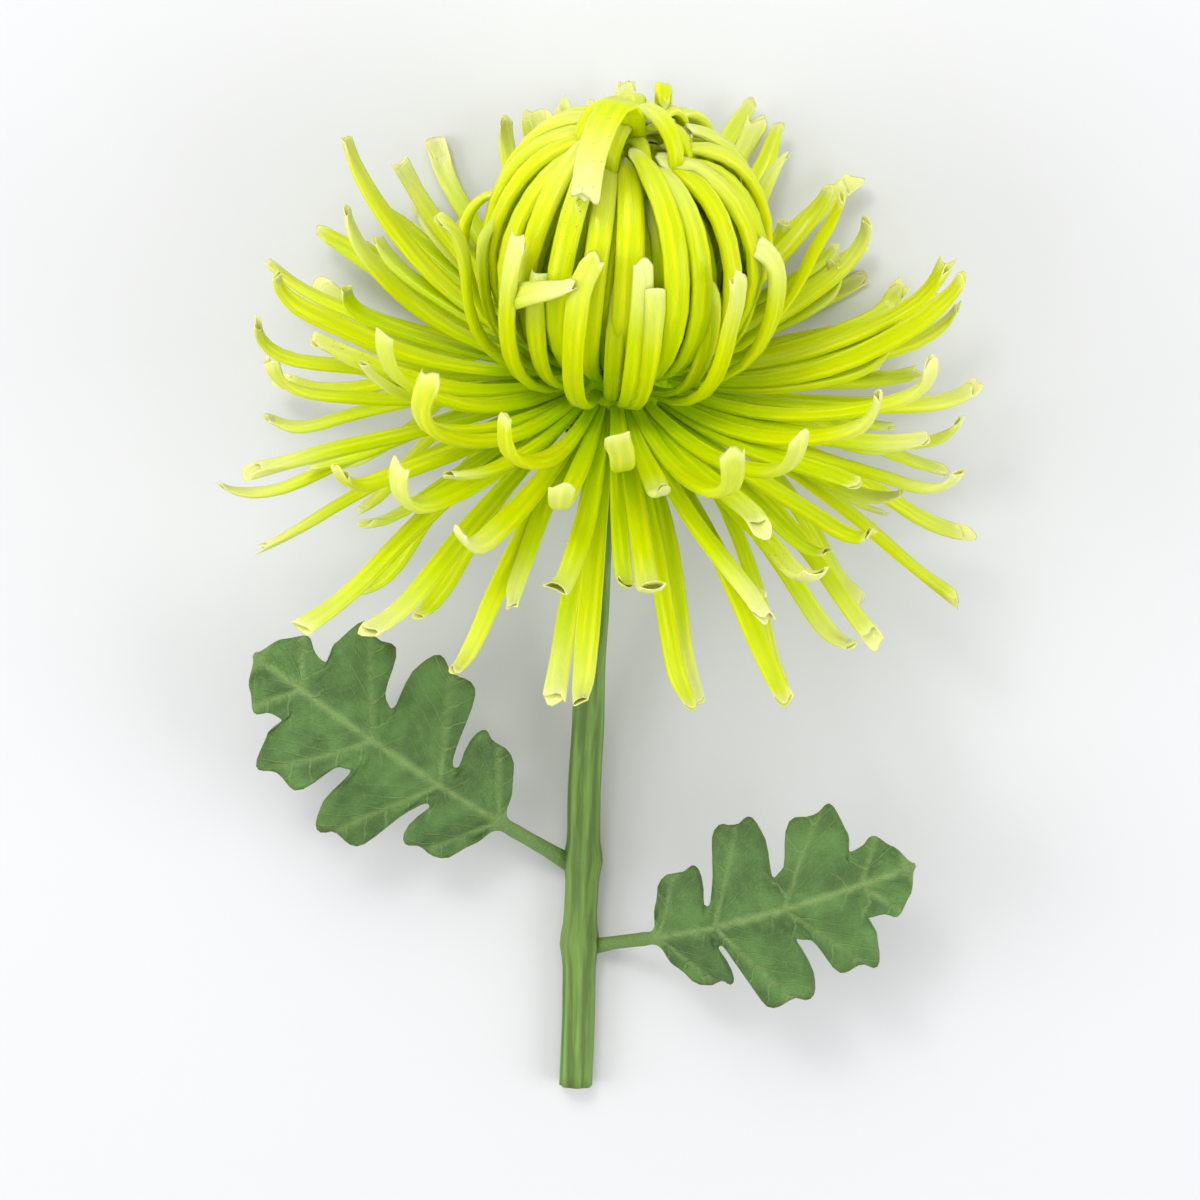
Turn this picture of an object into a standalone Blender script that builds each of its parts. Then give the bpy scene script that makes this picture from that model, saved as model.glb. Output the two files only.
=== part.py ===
"""Spider chrysanthemum: one cut bloom with its calyx, stem and two leaves, lying on a flat surface.

Metres, +Z up. The stem lies along Y with its cut end towards -Y. The bloom faces +Y and leans upwards,
and its lowest florets are bent flat against the surface at Z = 0.
"""

import math
import random
from collections import namedtuple

import bmesh
import bpy
from mathutils import Matrix, Vector

# Where the bloom sits
SEAT = Vector((0.0000, 0.0412, 0.0352))
BLOOM_TILT = math.radians(32)
SURFACE_FOOT = Vector((0.0000, 0.0272, 0.0))

# How florets meet the surface they lie on
BEND_HEIGHT = 0.013
LOWEST_LEVEL = -0.0015
HIGHEST_LEVEL = 0.0050
SPLAY = 0.8

# Receptacle and the small core inside the ball of florets
RECEPTACLE_RADIUS = 0.0105
RECEPTACLE_DEPTH = 0.008
BALL_CENTRE = 0.020
CORE_RADIUS = 0.0150
CORE_DIMPLE_RADIUS = 0.0065
CORE_DIMPLE_FLOOR = 0.0265
CORE_STEPS = 12

# Calyx
JOINT_GAP = 0.0003
CALYX_DEPTH = 0.0085
CALYX_RADIUS = 0.0102
BRACT_ROWS = ((11, 0.0020, 0.0075), (9, 0.0046, 0.0060))
BRACT_THICKNESS = 0.0011

# Stem
NECK_RADIUS = 0.0023
STEM_RADIUS = 0.0028
STEM_END = Vector((0.006, -0.0878, 0.00258))
STEM_POINTS = 16

# Leaves
LEAF_STATIONS = 21
LEAF_COLUMNS = 4
LEAF_THICKNESS = 0.0012
LEAF_EDGE_SHARE = 0.58
LEAF_ROOT_GAP = 0.0010

# Edges shorter than this are collapsed after a union
SPECK = 0.000004

# Florets
SEED = 20
STEPS = 32
CURL_STEP = 26

Ring = namedtuple(
    "Ring",
    "name count first length spread root lean lean_spread whorl sway twist hook curl "
    "width thickness stations",
)

# The steps along a floret that its solid passes through
HEART_STATIONS = (0, 8, 16, 24, 32)
BALL_STATIONS = (0, 4, 8, 12, 16, 20, 24, 28, 32)
RISER_STATIONS = (0, 5, 10, 15, 20, 26, 30, 32)
SPREADER_STATIONS = (0, 6, 12, 19, 26, 30, 32)

# Rings of florets from the heart outwards. Lean is the angle from the bloom's axis, in degrees, at even
# steps from root to tip; root is the radius and height of the root in the receptacle; curl is the most,
# in degrees, that a tip curls in.
RINGS = (
    Ring("heart", 7, 0.2, 0.019, 0.08, (0.0030, 0.0185), (12, 4, -14, -40, -70),
         5, 12, 8, 10, 0, 0, 0.0028, 0.0019, HEART_STATIONS),
    Ring("inner_ball", 13, 0.0, 0.043, 0.05, (0.0060, 0.0036), (70, 34, -2, -38, -92),
         2, 16, 5, 8, 6, 20, 0.0038, 0.0021, BALL_STATIONS),
    Ring("outer_ball", 23, 0.5, 0.0555, 0.05, (0.0060, -0.0006), (76, 38, 1, -36, -82),
         2, 14, 6, 10, 10, 30, 0.0045, 0.0024, BALL_STATIONS),
    Ring("risers", 13, 0.3, 0.044, 0.13, (0.0055, -0.0022), (98, 64, 24, 2, 6),
         6, 0, 18, 30, 42, 75, 0.0042, 0.0023, RISER_STATIONS),
    Ring("upper_spreaders", 21, 0.0, 0.055, 0.08, (0.0060, -0.0035), (100, 86, 68, 55, 34),
         6, 0, 14, 28, 26, 70, 0.0041, 0.0022, SPREADER_STATIONS),
    Ring("spreaders", 25, 0.4, 0.057, 0.07, (0.0065, -0.0048), (102, 96, 90, 85, 62),
         5, 0, 14, 28, 28, 70, 0.0041, 0.0022, SPREADER_STATIONS),
    Ring("droopers", 23, 0.1, 0.059, 0.08, (0.0070, -0.0060), (105, 109, 115, 121, 102),
         6, 0, 14, 30, 28, 60, 0.0039, 0.0021, SPREADER_STATIONS),
    Ring("hangers", 13, 0.6, 0.050, 0.08, (0.0075, -0.0062), (101, 117, 136, 146, 124),
         6, 0, 14, 30, 28, 50, 0.0037, 0.0020, SPREADER_STATIONS),
    Ring("over_the_top", 1, 0.660, 0.0485, 0.0, (0.0025, 0.0210), (-4, -3, 20, 124, 172),
         0, 14, 0, 20, 0, 0, 0.0058, 0.0022, BALL_STATIONS),
    Ring("across_the_ball", 1, 0.585, 0.0465, 0.0, (0.0060, -0.0018), (82, 58, 8, 58, 61),
         0, 164, 0, 20, 0, 0, 0.0044, 0.0022, BALL_STATIONS),
    Ring("up_the_ball", 1, 0.775, 0.043, 0.0, (0.0060, -0.0018), (98, 58, 12, -6, -16),
         0, 18, 0, 20, 0, 0, 0.0043, 0.0022, RISER_STATIONS),
)

Leaf = namedtuple("Leaf", "name along heading lift length width arch")
LEAVES = (
    Leaf("leaf_left", 0.72, 150, 14, 0.066, 0.036, 0.010),
    Leaf("leaf_right", 0.83, 24, 20, 0.060, 0.033, 0.012),
)
# Half-width of the blade as a share of its greatest, and the forward shift of its edge, along the leaf.
LEAF_OUTLINE = (
    (0.00, 0.07, 0.00), (0.08, 0.07, 0.00), (0.16, 0.07, 0.00), (0.22, 0.10, 0.00),
    (0.27, 0.42, -0.01), (0.32, 0.66, 0.04), (0.37, 0.55, 0.05), (0.40, 0.24, 0.01),
    (0.44, 0.30, 0.00), (0.48, 0.84, 0.00), (0.54, 1.00, 0.05), (0.59, 0.80, 0.06),
    (0.62, 0.36, 0.02), (0.66, 0.42, 0.01), (0.70, 0.78, 0.02), (0.76, 0.84, 0.06),
    (0.81, 0.56, 0.05), (0.84, 0.34, 0.01), (0.89, 0.42, 0.02), (0.95, 0.26, 0.02),
    (1.00, 0.03, 0.00),
)


def clear_scene():
    for old in list(bpy.data.objects):
        bpy.data.objects.remove(old, do_unlink=True)


def collection(name):
    made = bpy.data.collections.new(name)
    bpy.context.scene.collection.children.link(made)
    return made


def material(name, colour, roughness):
    made = bpy.data.materials.new(name)
    made.use_nodes = True
    shader = made.node_tree.nodes["Principled BSDF"]
    shader.inputs["Base Color"].default_value = (*colour, 1.0)
    shader.inputs["Roughness"].default_value = roughness
    shader.inputs["Metallic"].default_value = 0.0
    return made


def bloom_to_world():
    """The bloom's frame has its axis along +Z and the seat of the florets at its origin."""
    return Matrix.Translation(SEAT) @ Matrix.Rotation(BLOOM_TILT - math.pi / 2, 4, "X")


def value_at(profile, share):
    """The value at a share of the way along a list of evenly spaced values."""
    place = share * (len(profile) - 1)
    low = min(int(place), len(profile) - 2)
    return profile[low] + (profile[low + 1] - profile[low]) * (place - low)


def bend_to_surface(point, heading, level):
    """Turns a falling floret along the surface as it comes near it, and splays it outwards."""
    height = point.z - level
    if heading.z >= 0 or height > BEND_HEIGHT:
        return heading
    share = max(height, 0.0) / BEND_HEIGHT
    outwards = (point - SURFACE_FOOT).to_2d().normalized().to_3d()
    bent = heading.copy()
    bent.z *= share
    bent += outwards * (1 - share) * SPLAY
    return bent.normalized()


def floret_draws(ring):
    """The azimuth and the small differences of each floret of a ring, from the ring's own seeds."""
    draws = random.Random(f"{SEED} {ring.name}")
    curls = random.Random(f"{SEED} {ring.name} curls")
    for number in range(ring.count):
        turn = 360 / ring.count
        scatter = draws.uniform(-0.2, 0.2) * min(turn, 24)
        yield {
            "azimuth": math.radians((number + ring.first) * turn + scatter),
            "length": ring.length * (1 + draws.uniform(-ring.spread, ring.spread)),
            "lean": draws.gauss(0, ring.lean_spread),
            "sway": ring.whorl + draws.uniform(-ring.sway, ring.sway),
            "twist": math.radians(draws.uniform(-ring.twist, ring.twist)),
            "hook": draws.uniform(-ring.hook, ring.hook),
            "level": LOWEST_LEVEL + (HIGHEST_LEVEL - LOWEST_LEVEL) * draws.random(),
            "curl": math.radians(curls.uniform(-0.3, 1.0) * ring.curl),
        }


def curled_tip(points, across_root, curl):
    """Curls the last steps of a path towards the floret's inner side, unless they lie on the surface."""
    freedom = min(max(points[-1].z / BEND_HEIGHT, 0.0), 1.0)
    curled = points[: CURL_STEP + 1]
    for number in range(CURL_STEP, STEPS):
        step = points[number + 1] - points[number]
        across = (across_root - step * (across_root.dot(step) / step.length_squared)).normalized()
        share = (number + 1 - CURL_STEP) / (STEPS - CURL_STEP)
        curled.append(curled[-1] + Matrix.Rotation(-curl * freedom * share**1.4, 3, across) @ step)
    return curled


def floret_path(ring, draw):
    """Evenly spaced world points along one floret."""
    to_world = bloom_to_world()
    turned = to_world.to_3x3() @ Matrix.Rotation(draw["azimuth"], 3, "Z")
    point = to_world @ (Matrix.Rotation(draw["azimuth"], 3, "Z") @ Vector((ring.root[0], 0, ring.root[1])))
    step = draw["length"] / STEPS
    points = [point.copy()]
    for number in range(STEPS):
        share = (number + 0.5) / STEPS
        hook = draw["hook"] * max(0.0, share - 0.7) / 0.3
        lean = math.radians(value_at(ring.lean, share) + draw["lean"] * share + hook)
        sway = math.radians(draw["sway"]) * share**2
        local = Vector((math.sin(lean) * math.cos(sway), math.sin(lean) * math.sin(sway), math.cos(lean)))
        heading = bend_to_surface(point, turned @ local, draw["level"])
        point = point + heading * step
        points.append(point.copy())
    return curled_tip(points, turned @ Vector((0, 1, 0)), draw["curl"])


def floret_girth(share):
    """A floret is a narrow tube at its root and widest near its open tip."""
    return value_at((0.42, 0.74, 0.94, 1.00, 0.90), share)


def floret_section(ring, target):
    """The flattened four-sided tube that a ring's florets are swept from."""
    data = bpy.data.curves.new(f"{ring.name}_section", "CURVE")
    data.dimensions = "2D"
    spline = data.splines.new("POLY")
    spline.points.add(3)
    half_width, half_thickness = ring.width / 2, ring.thickness / 2
    corners = ((half_thickness, 0), (0, half_width), (-half_thickness, 0), (0, -half_width))
    for corner, (x, y) in zip(spline.points, corners):
        corner.co = (x, y, 0, 1)
    spline.use_cyclic_u = True
    section = bpy.data.objects.new(data.name, data)
    section.hide_render = True
    section.display_type = "WIRE"
    target.objects.link(section)
    return section


def mesh_from_curve(curve, name, target):
    """The curve's evaluated mesh with its caps welded, in an object of its own."""
    bpy.context.view_layer.update()
    graph = bpy.context.evaluated_depsgraph_get()
    mesh = bpy.data.meshes.new_from_object(curve.evaluated_get(graph))
    shape = bmesh.new()
    shape.from_mesh(mesh)
    bmesh.ops.remove_doubles(shape, verts=shape.verts, dist=1e-6)
    bmesh.ops.recalc_face_normals(shape, faces=shape.faces)
    shape.to_mesh(mesh)
    shape.free()
    solid = bpy.data.objects.new(name, mesh)
    solid.matrix_world = curve.matrix_world
    target.objects.link(solid)
    bpy.data.objects.remove(curve, do_unlink=True)
    return solid


def make_floret(ring, number, draw, section, target):
    """One floret, swept in its own frame whose Z lies across the floret, so that its flat side stays true."""
    path = floret_path(ring, draw)
    across = Matrix.Rotation(draw["azimuth"], 4, "Z") @ Matrix.Rotation(math.pi / 2, 4, "X")
    frame = bloom_to_world() @ across
    inverse = frame.inverted()
    data = bpy.data.curves.new("floret", "CURVE")
    data.dimensions = "3D"
    data.twist_mode = "Z_UP"
    data.bevel_mode = "OBJECT"
    data.bevel_object = section
    data.use_fill_caps = True
    spline = data.splines.new("POLY")
    spline.points.add(len(ring.stations) - 1)
    for knot, station in zip(spline.points, ring.stations):
        share = station / STEPS
        knot.co = (*(inverse @ path[station]), 1)
        knot.radius = floret_girth(share)
        knot.tilt = draw["twist"] * share
    curve = bpy.data.objects.new("floret", data)
    curve.matrix_world = frame
    target.objects.link(curve)
    return mesh_from_curve(curve, f"{ring.name}_{number}", target)


def turned_solid(name, profile, steps, target):
    """A closed solid from a profile of (radius, height) pairs that starts and ends on the axis, top first."""
    mesh = bpy.data.meshes.new(name)
    points = [(radius, 0, height) for radius, height in profile]
    mesh.from_pydata(points, [(i, i + 1) for i in range(len(points) - 1)], [])
    solid = bpy.data.objects.new(name, mesh)
    target.objects.link(solid)
    screw = solid.modifiers.new("turn", "SCREW")
    screw.steps = screw.render_steps = steps
    screw.use_merge_vertices = True
    screw.merge_threshold = 0.00002
    screw.use_smooth_shade = True
    return solid


def core_profile():
    """The receptacle's dome and the core of the ball above it, with a dimple where the heart florets rise."""
    rim_turn = math.asin(CORE_DIMPLE_RADIUS / CORE_RADIUS)
    foot_turn = math.radians(28)
    points = [(0, CORE_DIMPLE_FLOOR), (CORE_DIMPLE_RADIUS * 0.6, CORE_DIMPLE_FLOOR + 0.0008)]
    arc_points = 6
    for number in range(arc_points):
        turn = rim_turn + (math.pi - foot_turn - rim_turn) * number / (arc_points - 1)
        points.append((CORE_RADIUS * math.sin(turn), BALL_CENTRE + CORE_RADIUS * math.cos(turn)))
    points += [
        (RECEPTACLE_RADIUS * 0.78, 0.0015),
        (RECEPTACLE_RADIUS, -RECEPTACLE_DEPTH * 0.45),
        (RECEPTACLE_RADIUS * 0.92, -RECEPTACLE_DEPTH),
        (0, -RECEPTACLE_DEPTH),
    ]
    return points


def finish_with(solid, finish):
    solid.data.materials.clear()
    solid.data.materials.append(finish)


def apply_modifiers(solid):
    """Bakes the object's modifiers and its place into its mesh."""
    bpy.context.view_layer.update()
    graph = bpy.context.evaluated_depsgraph_get()
    mesh = bpy.data.meshes.new_from_object(solid.evaluated_get(graph))
    mesh.transform(solid.matrix_world)
    solid.modifiers.clear()
    solid.data = mesh
    solid.matrix_world = Matrix.Identity(4)


def keep_outer_shell(solid):
    """Fills the hollows that fusing sealed, and drops loose scrap: only the largest shell stays."""
    shape = bmesh.new()
    shape.from_mesh(solid.data)
    bmesh.ops.dissolve_degenerate(shape, edges=shape.edges, dist=SPECK)
    bmesh.ops.triangulate(shape, faces=shape.faces)
    unseen = set(shape.faces)
    largest = []
    while unseen:
        shell = [unseen.pop()]
        for face in shell:
            for edge in face.edges:
                for neighbour in edge.link_faces:
                    if neighbour in unseen:
                        unseen.remove(neighbour)
                        shell.append(neighbour)
        largest = max(largest, shell, key=len)
    kept = set(largest)
    rest = [face for face in shape.faces if face not in kept]
    bmesh.ops.delete(shape, geom=rest, context="FACES")
    shape.to_mesh(solid.data)
    shape.free()


def fuse(solid, repeats, solver="EXACT"):
    """One union of the repeats into the solid, after which the repeats are removed."""
    union = solid.modifiers.new("fused", "BOOLEAN")
    union.operation = "UNION"
    union.operand_type = "COLLECTION"
    union.collection = repeats
    union.solver = solver
    apply_modifiers(solid)
    keep_outer_shell(solid)
    for repeat in list(repeats.objects):
        bpy.data.objects.remove(repeat, do_unlink=True)


def press_flat(solid, target, solver="EXACT"):
    """Trims what would dip under the surface, which leaves small flat spots at Z = 0."""
    size = 0.4
    bpy.ops.mesh.primitive_cube_add(size=size, location=(0, 0, -size / 2))
    cutter = bpy.context.object
    cutter.name = f"{solid.name}_surface"
    cutter.hide_render = True
    cutter.display_type = "WIRE"
    for owner in list(cutter.users_collection):
        owner.objects.unlink(cutter)
    target.objects.link(cutter)
    cut = solid.modifiers.new("pressed", "BOOLEAN")
    cut.operation = "DIFFERENCE"
    cut.object = cutter
    cut.solver = solver
    apply_modifiers(solid)
    keep_outer_shell(solid)


def make_bloom(parts, helpers, finish):
    core = turned_solid("bloom", core_profile(), CORE_STEPS, parts)
    core.matrix_world = bloom_to_world()
    florets = collection("florets")
    for ring in RINGS:
        section = floret_section(ring, helpers)
        for number, draw in enumerate(floret_draws(ring)):
            make_floret(ring, number, draw, section, florets)
    # So many crossing florets leave edges that touch with the exact solver
    fuse(core, florets, "MANIFOLD")
    press_flat(core, helpers, "MANIFOLD")
    finish_with(core, finish)
    return core


def make_bract(row, number, target):
    """One pointed bract, laid against the side of the calyx."""
    count, drop, length = row
    azimuth = 2 * math.pi * (number + 0.5 * (row is BRACT_ROWS[1])) / count
    bpy.ops.mesh.primitive_uv_sphere_add(segments=6, ring_count=4, radius=1)
    bract = bpy.context.object
    bract.name = f"bract_{count}_{number}"
    for owner in list(bract.users_collection):
        owner.objects.unlink(bract)
    target.objects.link(bract)
    width = 2 * math.pi * CALYX_RADIUS / count * 0.44
    shape = Matrix.Diagonal((BRACT_THICKNESS, width, length / 2, 1))
    flare = math.radians(24)
    height = -RECEPTACLE_DEPTH - JOINT_GAP - drop - length * 0.36
    radius = CALYX_RADIUS - drop * 0.45 - length * 0.14
    place = Matrix.Translation((radius, 0, height)) @ Matrix.Rotation(flare, 4, "Y")
    bract.data.transform(bloom_to_world() @ Matrix.Rotation(azimuth, 4, "Z") @ place @ shape)
    return bract


def make_calyx(parts, finish):
    top = -RECEPTACLE_DEPTH - JOINT_GAP
    bottom = top - CALYX_DEPTH
    profile = (
        (0, top),
        (CALYX_RADIUS * 0.93, top),
        (CALYX_RADIUS, top - CALYX_DEPTH * 0.12),
        (CALYX_RADIUS * 0.86, top - CALYX_DEPTH * 0.45),
        (CALYX_RADIUS * 0.52, top - CALYX_DEPTH * 0.78),
        (NECK_RADIUS * 1.15, bottom),
        (0, bottom),
    )
    calyx = turned_solid("calyx", profile, 24, parts)
    calyx.matrix_world = bloom_to_world()
    bracts = collection("bracts")
    for row in BRACT_ROWS:
        for number in range(row[0]):
            make_bract(row, number, bracts)
    fuse(calyx, bracts)
    finish_with(calyx, finish)
    return calyx


def stem_line():
    """Points along the stem from the calyx, down to the surface and along it to the cut end."""
    axis = (bloom_to_world().to_3x3() @ Vector((0, 0, 1))).normalized()
    neck = SEAT - axis * (RECEPTACLE_DEPTH + CALYX_DEPTH + 2 * JOINT_GAP)
    first_handle = neck - axis * 0.036
    second_handle = Vector((0.002, -0.034, STEM_END.z))
    line = []
    for number in range(STEM_POINTS):
        share = number / (STEM_POINTS - 1)
        rest = 1 - share
        line.append(
            neck * rest**3
            + first_handle * 3 * rest**2 * share
            + second_handle * 3 * rest * share**2
            + STEM_END * share**3
        )
    return line


def stem_radius(share):
    return NECK_RADIUS + (STEM_RADIUS - NECK_RADIUS) * min(1.0, share * 1.6)


def make_stem(parts, helpers, finish):
    data = bpy.data.curves.new("stem", "CURVE")
    data.dimensions = "3D"
    data.twist_mode = "Z_UP"
    data.bevel_depth = 1.0
    data.bevel_resolution = 3
    data.use_fill_caps = True
    spline = data.splines.new("POLY")
    line = stem_line()
    spline.points.add(len(line) - 1)
    for index, (knot, point) in enumerate(zip(spline.points, line)):
        knot.co = (*point, 1)
        knot.radius = stem_radius(index / (len(line) - 1))
    curve = bpy.data.objects.new("stem_line", data)
    parts.objects.link(curve)
    stem = mesh_from_curve(curve, "stem", parts)
    press_flat(stem, helpers)
    finish_with(stem, finish)
    return stem


def leaf_shape(leaf):
    """The lobed blade and its petiole as an open sheet along +X, arched and waved."""
    shape = bmesh.new()
    bmesh.ops.create_grid(shape, x_segments=LEAF_STATIONS - 1, y_segments=LEAF_COLUMNS, size=0.5)
    weights = {}
    for vertex in shape.verts:
        station = round((vertex.co.x + 0.5) * (LEAF_STATIONS - 1))
        side = round((vertex.co.y) * LEAF_COLUMNS) / (LEAF_COLUMNS / 2)
        share, half_width, forward = LEAF_OUTLINE[station]
        along = share + forward * abs(side)
        across = side * half_width * leaf.width / 2
        wave = 0.0012 * math.sin(along * 19 + side * 2) * abs(side) * min(1.0, half_width * 2)
        arch = leaf.arch * math.sin(math.pi * min(1.0, along * 0.92))
        fall = 0.10 * leaf.width * abs(side) * half_width
        vertex.co = (along * leaf.length, across, arch - fall + wave)
        weights[vertex.index] = 1.0 - abs(side) if half_width > 0.12 else 1.0
    bmesh.ops.triangulate(shape, faces=shape.faces)
    bmesh.ops.recalc_face_normals(shape, faces=shape.faces)
    return shape, weights


def make_leaf(leaf, line, parts, finish):
    shape, weights = leaf_shape(leaf)
    mesh = bpy.data.meshes.new(leaf.name)
    shape.to_mesh(mesh)
    shape.free()
    blade = bpy.data.objects.new(leaf.name, mesh)
    parts.objects.link(blade)
    thick = blade.vertex_groups.new(name="thick")
    for index, weight in weights.items():
        thick.add([index], weight, "REPLACE")
    heading = math.radians(leaf.heading)
    aside = Vector((math.copysign(1, math.cos(heading)), 0, 0))
    root = value_at(line, leaf.along) + aside * (stem_radius(leaf.along) + LEAF_ROOT_GAP)
    turn = Matrix.Rotation(heading, 4, "Z") @ Matrix.Rotation(-math.radians(leaf.lift), 4, "Y")
    blade.matrix_world = Matrix.Translation(root) @ turn
    wall = blade.modifiers.new("wall", "SOLIDIFY")
    wall.thickness = LEAF_THICKNESS
    wall.offset = 0
    wall.vertex_group = "thick"
    wall.thickness_vertex_group = LEAF_EDGE_SHARE
    apply_modifiers(blade)
    finish_with(blade, finish)
    return blade


def main():
    clear_scene()
    parts = collection("spider_chrysanthemum")
    helpers = collection("helpers")
    petal = material("floret_lime", (0.58, 0.68, 0.02), 0.42)
    green = material("calyx_green", (0.20, 0.34, 0.05), 0.55)
    stalk = material("stem_green", (0.16, 0.30, 0.06), 0.55)
    leafage = material("leaf_green", (0.06, 0.13, 0.05), 0.60)
    make_bloom(parts, helpers, petal)
    make_calyx(parts, green)
    make_stem(parts, helpers, stalk)
    line = stem_line()
    for leaf in LEAVES:
        make_leaf(leaf, line, parts, leafage)


main()
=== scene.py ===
"""The looks of a cut spider chrysanthemum that lies on a pale table.

Every floret follows the same rule as its solid does, so the finer tubes lie where the solids are.
"""

import math
import random
from collections import namedtuple

import bmesh
import bpy
from bpy.props import (
    FloatProperty,
    FloatVectorProperty,
    IntProperty,
    PointerProperty,
)
from bpy.types import Operator, Panel, PropertyGroup
from mathutils import Matrix, Vector


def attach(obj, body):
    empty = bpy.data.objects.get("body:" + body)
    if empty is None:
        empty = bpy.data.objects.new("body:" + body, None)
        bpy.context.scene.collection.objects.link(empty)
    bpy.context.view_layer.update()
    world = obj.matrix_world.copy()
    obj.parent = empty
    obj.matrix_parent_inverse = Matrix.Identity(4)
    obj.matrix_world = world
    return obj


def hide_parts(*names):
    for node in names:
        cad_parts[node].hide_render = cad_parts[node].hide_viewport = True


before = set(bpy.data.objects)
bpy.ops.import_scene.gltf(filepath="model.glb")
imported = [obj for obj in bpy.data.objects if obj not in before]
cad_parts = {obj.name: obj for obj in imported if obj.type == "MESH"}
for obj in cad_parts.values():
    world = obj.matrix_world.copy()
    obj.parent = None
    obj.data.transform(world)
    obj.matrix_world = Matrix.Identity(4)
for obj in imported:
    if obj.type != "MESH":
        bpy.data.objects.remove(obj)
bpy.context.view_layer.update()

bl_info = {
    "name": "Spider Chrysanthemum",
    "version": (1, 0, 0),
    "blender": (4, 5, 0),
    "location": "3D View > Sidebar > Chrysanthemum",
    "description": "Grows the florets, calyx, stem and leaves of a cut spider chrysanthemum",
    "category": "Object",
}

# Where the bloom sits, and how its florets meet the surface
SEAT = Vector((0.0000, 0.0412, 0.0352))
BLOOM_TILT = math.radians(32)
SURFACE_FOOT = Vector((0.0000, 0.0272, 0.0))
BEND_HEIGHT = 0.013
LOWEST_LEVEL = -0.0015
HIGHEST_LEVEL = 0.0050
SPLAY = 0.8

# Receptacle and the small core inside the ball of florets
CORE_STEPS = 48
RECEPTACLE_RADIUS = 0.0105
RECEPTACLE_DEPTH = 0.008
BALL_CENTRE = 0.020
CORE_RADIUS = 0.0150
CORE_DIMPLE_RADIUS = 0.0065
CORE_DIMPLE_FLOOR = 0.0265

# Calyx
JOINT_GAP = 0.0003
CALYX_DEPTH = 0.0085
CALYX_RADIUS = 0.0102
CALYX_STEPS = 40
# The calyx's radius at even steps from its foot to its top, as shares of the greatest
CALYX_SWELL = (0.24, 0.55, 0.80, 0.94, 0.98)
BRACT_THICKNESS = 0.00035
BRACT_KEEL = 0.0004
BRACT_STATIONS = 8
BRACT_COLUMNS = 6

# Rows of bracts from the top down. First turns a row by that share of a step, height is a share of the
# calyx's depth, and lean is in degrees.
BractRow = namedtuple("BractRow", "count first height width length lean")
BRACT_ROWS = (
    BractRow(13, 0.0, 0.86, 0.0034, 0.0066, 58),
    BractRow(12, 0.5, 0.62, 0.0034, 0.0066, 44),
    BractRow(9, 0.0, 0.36, 0.0034, 0.0056, 28),
)

# Stem
NECK_RADIUS = 0.0023
STEM_RADIUS = 0.0028
STEM_END = Vector((0.006, -0.0878, 0.00258))
# The handles of its curve: how far the first lies straight on from the neck, and the second's X and Y
NECK_HANDLE = 0.036
END_HANDLE = (0.002, -0.034)
# About its length along its curve
STEM_LENGTH = 0.118
STEM_SIDES = 42
STEM_STATIONS = 72
# From the stem's end inwards over the cut face: how far each ring rises, as a share of the stem's length,
# and its size as a share of the one before
CUT_FACE = ((0.0, 0.93), (-0.002, 0.94), (0.0005, 0.78), (0.001, 0.62), (0.001, 0.30))
# Where the cut face and the pith inside it begin, as shares of the stem's length and of its radius
CUT_START = 0.996
CUT_RADIUS = 0.90
PITH_RADIUS = 0.74
# Height of the swelling at a leaf, and its reach as a share of the stem's length
NODE_SWELL = 0.0006
NODE_REACH = 0.018
RIB_TWIST = 1.2
STEM_WOBBLE = 0.00010

SEED = 20
# Steps along a floret's path, and the one from which its tip curls
STEPS = 32
CURL_STEP = 26

# The shares of a floret's length that its finer tube passes through
TUBE_SHARES = (
    0, 0.07, 0.15, 0.24, 0.33, 0.42, 0.51, 0.60, 0.68, 0.75, 0.81, 0.86, 0.90, 0.94, 0.97, 0.99, 1.0,
)
# Inside the mouth, the share of the length that each ring of the wall lies at, and its radius
MOUTH_WALL = ((0.994, 0.88), (0.96, 0.76), (0.90, 0.45))
# A floret's girth swells and narrows by this share, in a wave of this many radians from root to tip
GIRTH_WAVE = 0.06
GIRTH_WAVE_TURN = 9
# How far the groove along each flat side reaches, as a share of the half-width
GROOVE_REACH = 0.4
# The shares of the length from which the rim's lobes and slit set in, and the tip's bend aside
RIM_START = 0.88
KINK_START = 0.85
# A length along a piece counts this much in its markings, which draws them out, and the whole stem
# counts as its own short length
GRAIN_SHARE = 0.10
CALYX_GRAIN_SHARE = 0.2
STEM_GRAIN_LENGTH = 0.012
# The least height of a floret's or the stem's skin above the table
TABLE_GAP = 0.00003

Ring = namedtuple(
    "Ring",
    "name count first length spread root lean lean_spread whorl sway twist hook curl width thickness depth",
)

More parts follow.
